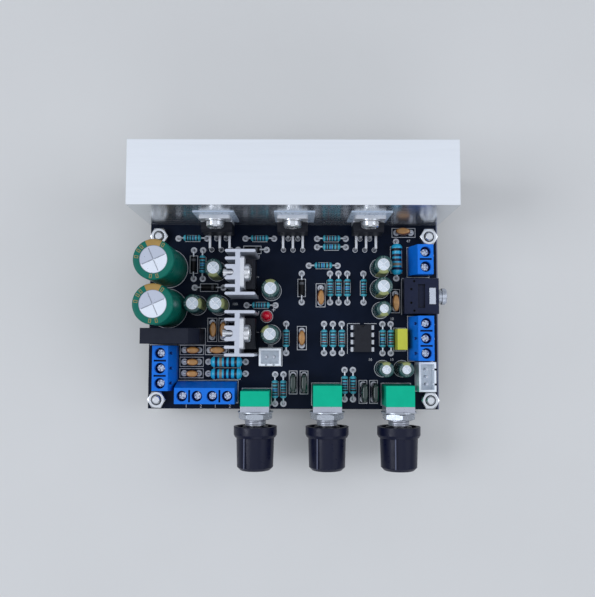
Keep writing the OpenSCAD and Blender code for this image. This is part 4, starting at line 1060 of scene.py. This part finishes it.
@dataclass
class BareBoard:
    """Laminate with its mask, lands and solder. Sizes are in mm."""

    thin_hole: float = 0.9
    thick_hole: float = 1.4
    wide_land: float = 2.0
    wire_radius: float = 0.31
    rise: float = 0.2
    waist: float = 0.3
    steps: int = 14

    def build(self) -> None:
        """Dress the board and fill each ring with the solder that climbs its lead."""
        dress(MASK, "circuit_board")
        dress(TIN, "solder_lands")
        dress(SOLDER, "solder_joints")
        dress(LEAD_WIRE, "component_leads")
        piece = Piece("solder_fillets")
        for land in islands("solder_lands"):
            hole = self.thin_hole if land.size.x > self.wide_land else self.thick_hole
            # Each fillet is partly solder and partly painted shade of its hole.
            piece.add(self.fillet(hole / 2), FILLET, land.place(land.low.z))
        piece.seat("board", "solder")

    def fillet(self, foot: float) -> Shape:
        """Make one hollow-sided cone of solder.

        Args:
            foot: Radius of the hole that it fills.

        Returns:
            The shape in mm.
        """
        neck, rise = self.wire_radius, self.rise
        middle = (neck + (foot - neck) * self.waist, rise * self.waist)
        profile = [(0, -rise), (foot, -rise), (foot, 0), middle, (neck, rise), (0, rise)]
        return lathe(profile, self.steps)


@dataclass
class Silkscreen:
    """White print on the board. Sizes are in mm."""

    line: float = 0.2
    thickness: float = 0.02
    boxes: tuple[tuple[str, float, float], ...] = (
        ("ceramic_capacitors", 8.4, 3.4), ("film_capacitors", 8.2, 2.95), ("diodes", 6.4, 2.9),
        ("resistors", 5.3, 2.4), ("power_resistors", 9.6, 4.2),
    )
    around: tuple[tuple[str, float], ...] = (
        ("control_bodies", 0.45), ("bridge_rectifier", 0.4), ("box_capacitor", 0.5),
        ("two_pin_header", 0.35), ("three_pin_header", 0.3), ("left_speaker_terminal", 0.35),
        ("right_speaker_terminal", 0.4), ("third_speaker_terminal", 0.35), ("input_terminal", 0.35),
    )
    rings: tuple[tuple[str, float], ...] = (
        ("filter_capacitor_sleeves", 0.4), ("small_capacitor_sleeves", 0.4),
        ("indicator_lamp", 0.37),
    )
    ring_steps: int = 40
    chip_box: tuple[float, float] = (10.2, 10.5)
    chip_notch: float = 1.7
    jack_top: float = 0.55
    jack_ticks: tuple[float, float] = (2.0, 2.4)
    heatsink_bar: tuple[float, float] = (9.8, 1.2)
    heatsink_step: float = 1.2
    digit: float = 1.15
    value: float = 0.95
    pole_gap: float = 1.5
    plus_at: tuple[float, float] = (-7.1, 2.69)
    values: tuple[tuple[str, float, float, float], ...] = (
        ("100", -20.7, 4.8, 0.0), ("100", -8.2, -10.0, 0.0), ("2", -12.7, 14.4, 90.0),
        ("1", -12.6, -5.1, 90.0), ("10", 34.6, -0.3, 0.0), ("10", 26.9, -14.6, 0.0),
        ("10", 34.4, -14.6, 0.0), ("47", 40.6, 27.3, 0.0),
    )

    def build(self) -> None:
        """Print every outline, circle, digit and sign as one piece."""
        self.top = node_box("circuit_board").high.z
        self.piece = Piece("board_print")
        for node, length, width in self.boxes:
            for part in islands(node):
                self.box(length, width, part.place(self.top))
        for node, margin in self.around:
            for part in islands(node):
                length, width = part.size.xy + Vector((2, 2)) * margin
                self.box(length, width, moved(*part.centre.xy, self.top))
        for node, margin in self.rings:
            for part in islands(node):
                self.ring(part.size.x / 2 + margin, moved(*part.centre.xy, self.top))
        self.chip_outline()
        self.jack_outline()
        self.heatsink_outlines()
        self.digits()
        self.trim()
        self.piece.seat("board", "board_black")

    def trim(self) -> None:
        """Cut off what would be printed past the board's left or right edge."""
        box, mesh = node_box("circuit_board"), self.piece.mesh
        for edge, way in ((box.low.x + self.line, -1), (box.high.x - self.line, 1)):
            whole = [*mesh.verts, *mesh.edges, *mesh.faces]
            cut = bmesh.ops.bisect_plane(
                mesh, geom=whole, plane_co=(edge, 0, 0), plane_no=(way, 0, 0), clear_outer=True
            )["geom_cut"]
            rim = [part for part in cut if isinstance(part, bmesh.types.BMEdge)]
            bmesh.ops.holes_fill(mesh, edges=rim)

    def box(self, length: float, width: float, place: Matrix) -> None:
        """Print a rectangle of one line."""
        self.piece.add(outline(length, width, self.line, self.thickness), INK, place)

    def ring(self, radius: float, place: Matrix) -> None:
        """Print a circle of one line.

        Args:
            radius: Radius of its outer edge.
            place: Where its centre goes.
        """
        inner, top = radius - self.line, self.thickness
        section = [(inner, 0), (radius, 0), (radius, top), (inner, top)]
        self.piece.add(lathe(section, self.ring_steps, closed=True), INK, place)

    def strokes(self, *points: tuple[float, float]) -> None:
        """Print straight lines from each point to the next.

        Args:
            points: X and Y of each point on the board.
        """
        for start, stop in zip(points, points[1:]):
            first, last = Vector((*start, self.top)), Vector((*stop, self.top))
            along = last - first
            turn = Matrix.Rotation(math.atan2(along.y, along.x), 4, "Z")
            shape = slab(along.length + self.line, self.line, self.thickness)
            self.piece.add(shape, INK, Matrix.Translation((first + last) / 2) @ turn)

    def chip_outline(self) -> None:
        """Print the left side of the small chip's outline and its top with a gap for the notch."""
        middle, notch = node_box("small_chip").centre, self.chip_notch / 2
        left, right = middle.x - self.chip_box[0] / 2, middle.x + self.chip_box[0] / 2
        rear, front = middle.y + self.chip_box[1] / 2, middle.y - self.chip_box[1] / 2
        self.strokes((left, front), (left, rear), (middle.x - notch, rear))
        self.strokes((middle.x + notch, rear), (right, rear))

    def jack_outline(self) -> None:
        """Print the line behind the jack and the ticks beside it."""
        box = node_box("jack_housing")
        left, rear = box.low.x - self.line / 2, box.high.y + self.jack_top
        self.strokes((left, box.low.y), (left, rear), (left + self.jack_ticks[0], rear))
        self.strokes((box.high.x - self.jack_ticks[1], rear), (box.high.x, rear))

    def heatsink_outlines(self) -> None:
        """Print the bar in front of each regulator's heatsink and the step behind it."""
        length, width = self.heatsink_bar
        for part in islands("regulator_heatsinks"):
            middle, right = part.centre.x, part.high.x
            self.box(length, width, moved(middle, part.low.y + width / 2, self.top))
            rear = part.high.y - self.heatsink_step / 2
            self.strokes((middle, rear), (right, rear), (right, rear + self.heatsink_step))

    def digits(self) -> None:
        """Print the number of each pole beside its terminal, some values and a plus sign."""
        for name in TERMINAL_NAMES:
            box = node_box(f"{name}_terminal")
            for node in screws(name):
                spot = node_box(node).centre
                if box.run is Run.ALONG_X:
                    x, y, turn = spot.x, box.low.y - self.pole_gap, 0.0
                else:
                    side = math.copysign(1, spot.x)
                    edge = box.high.x if side > 0 else box.low.x
                    x, y, turn = edge + side * self.pole_gap, spot.y, 90.0
                self.sign(node[-1], self.digit, x, y, turn)
        for sign, x, y, turn in self.values:
            self.sign(sign, self.value, x, y, turn)
        self.sign("+", 2 * self.value, *self.plus_at, 0.0)

    def sign(self, digits: str, height: float, x: float, y: float, turn: float) -> None:
        """Print digits or a sign.

        Args:
            digits: What is printed.
            height: Height of a digit.
            x: Place along X.
            y: Place along Y.
            turn: Turn in degrees.
        """
        shape = numeral(digits, height, self.thickness)
        self.piece.add(shape, INK, moved(x, y, self.top) @ turned(turn))


@dataclass
class Fixings:
    """Standoffs, their nuts and the screws below."""

    def build(self) -> None:
        """Dress the metal."""
        dress(NICKEL, "standoffs", "standoff_nuts")
        dress(STEEL, "heatsink_screws")


@dataclass
class PowerStage:
    """Heatsink with three insulated power chips and two regulators."""

    def build(self) -> None:
        """Dress the power parts."""
        dress(SINK, "heatsink")
        dress(INSULATOR, "insulator_pads")
        dress(STEEL, "chip_screws", "regulator_screws")
        dress(EPOXY, "power_chip_bodies", "regulator_bodies")
        dress(TAB_METAL, "power_chip_leadframes", "regulator_leadframes")
        dress(FIN_METAL, "regulator_heatsinks")


@dataclass
class Electrolytics:
    """Sleeves of the electrolytic capacitors, each with its printed stripe.

    Sizes are in mm, and turns and the width of the stripe in degrees. The groove's points are
    its depth and their height from `groove_height`.
    """

    node: str
    cans: str
    piece: str
    can: CanFinish
    sleeve: Finish
    stripe: Finish
    mark_finish: Finish
    lip: float
    stripe_width: float
    mark: tuple[float, float]
    stripe_turns: tuple[float, ...]
    mark_turns: tuple[float, ...] = (-34.0, 44.0, 60.0, 82.0, 172.0, 194.0)
    mark_inset: float = 0.55
    mark_parts: int = 5
    mark_thickness: float = 0.015
    wall: float = 0.2
    corner: float = 0.7
    groove_height: float = 1.5
    groove: tuple[tuple[float, float], ...] = ((0.0, -0.7), (0.22, -0.2), (0.22, 0.2), (0.0, 0.7))
    sign_pitch: float = 4.0
    sign_rows: tuple[float, float] = (0.3, 0.55)
    sign_clear: float = 1.5
    sign_parts: int = 5
    sign_steps: int = 4
    least_rows: int = 4
    steps: int = 72

    def build(self) -> None:
        """Make the sleeves with their stripes, and dress the cans."""
        parts = islands(self.node)
        axes = tuple((part.centre.x, part.centre.y) for part in parts)
        dress(replace(self.can, axes=axes), self.cans)
        piece = Piece(self.piece)
        for part, turn in zip(parts, self.stripe_turns):
            radius, height = part.size.x / 2, part.size.z
            shape = lathe(self.profile(radius, height), self.steps, closed=True)
            base = moved(*part.centre.xy, part.low.z) @ turned(turn)
            piece.add(shape, self.painter(height), base)
            out = moved(radius - self.lip * self.mark_inset, 0, height)
            for angle in self.mark_turns:
                shape = outline(*self.mark, self.mark[1] / self.mark_parts, self.mark_thickness)
                piece.add(shape, self.mark_finish, base @ turned(angle) @ out)
        piece.seat("board", "sleeve_green", (self.node,), crease=60.0)

    def profile(self, radius: float, height: float) -> Points:
        """Give the section of a sleeve.

        Args:
            radius: Outer radius.
            height: Height of the capacitor.

        Returns:
            Radius and height of each point, round the section.
        """
        dents = [(radius - depth, self.groove_height + rise) for depth, rise in self.groove]
        foot = [(radius, 0.0), *dents]
        start, middle = dents[-1][1], (radius - self.corner, height - self.corner)
        plain = height - 2 * self.groove_height
        rows = max(self.least_rows, round(plain / (self.sign_pitch / self.sign_steps)))
        rise = middle[1] - start
        side = [(radius, start + rise * (row + 1) / rows) for row in range(rows)]
        top = arc(middle, self.corner, (22.5, 45, 67.5, 90))
        rim = [(radius - self.lip, height), (radius - self.lip, height - self.wall)]
        back = arc(middle, self.corner - self.wall, (90, 45, 0))
        inside = [(across - self.wall, up) for across, up in reversed(foot)]
        return [*foot, *side, *top, *rim, *back, *inside]

    def painter(self, height: float) -> Callable[[Vector], Finish]:
        """Give the finish for each place on a sleeve whose stripe is at +X.

        Args:
            height: Height of the capacitor.

        Returns:
            Function from a face's centre to its finish.
        """
        low, high = self.sign_rows

        def finish(spot: Vector) -> Finish:
            """Pick the stripe, its minus signs or the sleeve.

            Args:
                spot: Centre of a face.

            Returns:
                Its finish.
            """
            angle = abs(math.degrees(math.atan2(spot.y, spot.x)))
            if angle > self.stripe_width / 2:
                return self.sleeve
            row = (spot.z % self.sign_pitch) / self.sign_pitch
            near = angle < self.stripe_width / self.sign_parts
            signed = near and low < row < high and spot.z < height - self.sign_clear
            return self.sleeve if signed else self.stripe

        return finish


@dataclass
class Resistors:
    """Banded resistors: thin in the middle, with rounded ends. Sizes are in mm."""

    node: str
    piece: str
    enamel: Finish
    core: float
    codes: tuple[tuple[Band, ...], ...]
    band_places: tuple[float, ...] = (0.19, 0.33, 0.47, 0.62, 0.8)
    band_width: float = 0.085
    end_share: float = 0.4
    neck_share: float = 0.3
    end_marks: tuple[float, ...] = (0.0, 0.01, 0.03, 0.06, 0.1, 0.14, 0.18, 0.22, 0.26)
    steps: int = 24

    def build(self) -> None:
        """Make every body with its bands."""
        piece = Piece(self.piece)
        for number, part in enumerate(islands(self.node)):
            code = self.codes[number % len(self.codes)]
            shape = lathe(self.profile(part.length, part.size.z), self.steps)
            piece.add(shape, self.painter(code, part.length), part.place() @ turned(90, "Y"))
        piece.seat("board", "resistor_blue", (self.node,), crease=70.0)

    def profile(self, length: float, thick: float) -> Points:
        """Give the section of a body along Z.

        Args:
            length: Length of the body.
            thick: Diameter of its ends.

        Returns:
            Radius and height of each point.
        """
        end, neck = self.end_share * thick, self.neck_share * thick
        marks = {mark for one in self.end_marks for mark in (one, 1 - one)}
        for middle in self.band_places:
            marks |= {middle - self.band_width / 2, middle + self.band_width / 2}
        points = []
        for mark in sorted(marks):
            depth = min(mark, 1 - mark) * length
            if depth < end:
                radius = thick / 2 - end + math.sqrt(end**2 - (end - depth) ** 2)
            else:
                fade = min(1.0, (depth - end) / neck)
                fade = fade * fade * (3 - 2 * fade)
                radius = thick / 2 + (self.core / 2 - thick / 2) * fade
            points.append((radius, (mark - 0.5) * length))
        return [(0.0, -length / 2), *points, (0.0, length / 2)]

    def painter(self, code: Sequence[Band], length: float) -> Callable[[Vector], Finish]:
        """Give the finish for each place along a body.

        Args:
            code: Bands from one end to the other.
            length: Length of the body.

        Returns:
            Function from a face's centre to its finish.
        """

        def finish(spot: Vector) -> Finish:
            """Pick the band at this place, or the enamel.

            Args:
                spot: Centre of a face.

            Returns:
                Its finish.
            """
            share = spot.z / length + 0.5
            for middle, band in zip(self.band_places, code):
                if abs(share - middle) < self.band_width / 2:
                    return band.paint()
            return self.enamel

        return finish


@dataclass
class Diodes:
    """Black diodes with a pale cathode band. Sizes are in mm."""

    bevel: float = 0.18
    band: tuple[float, float] = (0.7, 0.86)
    steps: int = 28

    def build(self) -> None:
        """Make every body with its band."""
        piece = Piece("diode_bodies")
        for part in islands("diodes"):
            length, radius = part.length, part.size.z / 2
            start, stop = (share * length for share in self.band)
            inner = radius - self.bevel
            profile = [
                (0, 0), (inner, 0), (radius, self.bevel), (radius, start), (radius, stop),
                (radius, length - self.bevel), (inner, length), (0, length),
            ]

            def finish(spot: Vector, start: float = start, stop: float = stop) -> Finish:
                """Pick the band or the body."""
                return DIODE_BAND if start < spot.z < stop else DIODE

            lie = turned(90, "Y") @ moved(0, 0, -length / 2)
            piece.add(lathe(profile, self.steps), finish, part.place() @ lie)
        piece.seat("board", "diode_black", ("diodes",))


@dataclass
class DippedCapacitors:
    """Capacitors dipped in resin, thick in the middle and drawn in at their ends.

    A stance is the lean of one body to +X and +Y in mm, at half its height, and its length as a
    share of its solid's. Stances follow the bodies, sorted by X and then Y.
    """

    node: str
    piece: str
    slot: str
    dip: Finish
    thin: float
    taper: float
    stances: tuple[tuple[float, float, float], ...]
    rounds: int = 5

    def build(self) -> None:
        """Make every body, leaning, with the share `thin` of its solid's width."""
        piece = Piece(self.piece)
        ground = moved(0, 0, node_box("circuit_board").high.z)
        for part, (lean_x, lean_y, grow) in zip(islands(self.node), self.stances):
            size = (part.length * grow, min(part.size.xy) * self.thin, part.size.z)
            rise = part.centre.z - ground.translation.z
            lean = Matrix.Shear("XY", 4, (lean_x / rise, lean_y / rise))
            place = ground @ lean @ ground.inverted() @ part.place()
            piece.add(pebble(size, self.rounds, self.taper), self.dip, place)
        piece.seat("board", self.slot, (self.node,), crease=60.0)


@dataclass
class SmallParts:
    """Rectifier, small chip, box capacitor, lamp, headers and jack."""

    def build(self) -> None:
        """Dress the parts."""
        dress(BRIDGE, "bridge_rectifier")
        dress(EPOXY, "small_chip")
        dress(BOX_YELLOW, "box_capacitor")
        dress(LENS, "indicator_lamp")
        dress(NYLON, "two_pin_header", "three_pin_header")
        dress(JACK_BLACK, "jack_housing")
        dress(BARREL, "jack_barrel")


@dataclass
class Terminals:
    """Screw terminals with their contacts and screws."""

    def build(self) -> None:
        """Dress the terminals."""
        dress(BRASS, "terminal_contacts")
        for name in TERMINAL_NAMES:
            dress(TERMINAL, f"{name}_terminal")
            dress(SCREW, *screws(name))


@dataclass
class Controls:
    """Three controls with their bushings, nuts, shafts and knobs. Sizes are in mm."""

    thread_pitch: float = 0.75
    ridge: float = 0.1
    bushing_radius: float = 3.5
    turns: tuple[float, ...] = (30.0, 31.0, 17.0)
    skirt: float = 3.6
    end_round: float = 1.0
    rib_top: float = 6.75
    pointer_width: float = 0.4
    pointer_thickness: float = 0.03

    def build(self) -> None:
        """Dress the controls, cut the threads of the bushings and lay a lighter strip on each
        pointer rib.
        """
        dress(POT_GREEN, "control_bodies")
        dress(POT_METAL, "control_fronts")
        dress(CONTROL_NUT, "control_nuts")
        dress(NICKEL, *(f"shaft_{side}" for side in SIDES))
        dress(KNOB, *(f"knob_{side}" for side in SIDES))
        piece, pitch = Piece("bushing_threads"), self.thread_pitch
        nut_front, height = node_box("control_nuts").low.y, self.axis_height()
        for part in islands("control_fronts"):
            turns = (nut_front - part.low.y - pitch) / pitch
            place = moved(part.centre.x, nut_front - pitch / 2, height) @ turned(90, "X")
            piece.add(helix(self.bushing_radius, pitch, turns, self.ridge), POT_METAL, place)
        piece.seat("board", "control_metal")
        for side, turn in zip(SIDES, self.turns):
            self.pointer(side, turn)

    def pointer(self, side: str, turn: float) -> None:
        """Lay a lighter grey strip along the crest of a knob's rib.

        Args:
            side: Which control it is.
            turn: Turn of the rib from the top in degrees.
        """
        box = node_box(f"knob_{side}")
        rear, front = box.high.y - self.skirt, box.low.y + self.end_round
        axis = moved(node_box(f"shaft_{side}").centre.x, (rear + front) / 2, self.axis_height())
        lie = Matrix(((0, 1, 0), (0, 0, 1), (1, 0, 0))).to_4x4()
        place = axis @ turned(90, "X") @ turned(turn) @ moved(0, self.rib_top, 0) @ lie
        piece = Piece(f"pointer_{side}")
        piece.add(slab(rear - front, self.pointer_width, self.pointer_thickness), POINTER, place)
        piece.seat(f"{side}_control", "knob_black")

    def axis_height(self) -> float:
        """Height of the shafts' axes."""
        return node_box("shaft_left").centre.z


def electrolytics() -> tuple[Electrolytics, Electrolytics]:
    """Give the filter capacitors and the small ones.

    Returns:
        Both kinds, ready to build.
    """
    return (
        Electrolytics(
            "filter_capacitor_sleeves", "filter_capacitor_cans", "filter_sleeves",
            CAN, SLEEVE, FILTER_STRIPE, FILTER_STRIPE,
            lip=2.1, stripe_width=54.0, mark=(1.3, 0.8), stripe_turns=(90.0, 90.0),
        ),
        Electrolytics(
            "small_capacitor_sleeves", "small_capacitor_cans", "small_sleeves",
            SMALL_CAN, SMALL_SLEEVE, SMALL_STRIPE, SMALL_MARK,
            lip=1.1, stripe_width=70.0, mark=(0.55, 0.4),
            stripe_turns=(0.0, -90.0, 0.0, 135.0, 90.0, -90.0, -90.0, -90.0, 90.0, 90.0),
        ),
    )


def dipped_capacitors() -> tuple[DippedCapacitors, DippedCapacitors]:
    """Give the ceramic capacitors and the film ones.

    Returns:
        Both kinds, ready to build.
    """
    return (
        DippedCapacitors(
            "ceramic_capacitors", "ceramic_bodies", "ceramic_orange", CERAMIC, thin=0.92, taper=0.6,
            stances=(
                (0.7, 0.0, 1.0), (0.75, 0.0, 1.0), (0.8, 0.0, 1.1), (0.65, 0.0, 1.26),
                (0.5, 0.0, 1.26), (0.35, 0.0, 1.26), (0.0, 0.0, 1.26), (0.0, -0.8, 1.26),
                (-0.3, -0.7, 1.4), (-0.7, -0.2, 1.2),
            ),
        ),
        DippedCapacitors(
            "film_capacitors", "film_bodies", "film_green", FILM, thin=0.74, taper=0.35,
            stances=((0.0, 0.0, 1.3),) * 4,
        ),
    )


def resistors() -> tuple[Resistors, Resistors]:
    """Give the small resistors and the power ones, with their colour codes.

    Returns:
        Both kinds, ready to build.
    """
    small_codes = (
        (Band.BLACK, Band.BLACK, Band.NAVY, Band.VIOLET, Band.BLACK),
        (Band.NAVY, Band.BLACK, Band.BLUE, Band.BLACK, Band.BROWN),
        (Band.BLACK, Band.RED, Band.BLACK, Band.NAVY, Band.NAVY),
    )
    power_codes = ((Band.NAVY, Band.TAN, Band.NAVY, Band.NAVY, Band.BLACK),)
    return (
        Resistors("resistors", "resistor_bodies", ENAMEL, 1.85, small_codes),
        Resistors("power_resistors", "power_resistor_bodies", POWER_ENAMEL, 3.3, power_codes),
    )


def main() -> None:
    """Build the scene piece by piece."""
    logging.basicConfig(level=logging.INFO, format="%(name)s %(message)s")
    parts = (
        Viewpoint(), Studio(), BareBoard(), Silkscreen(), Fixings(), PowerStage(),
        *electrolytics(), *resistors(), Diodes(), *dipped_capacitors(),
        SmallParts(), Terminals(), Controls(),
    )
    for part in parts:
        part.build()


if __name__ == "__main__":
    main()
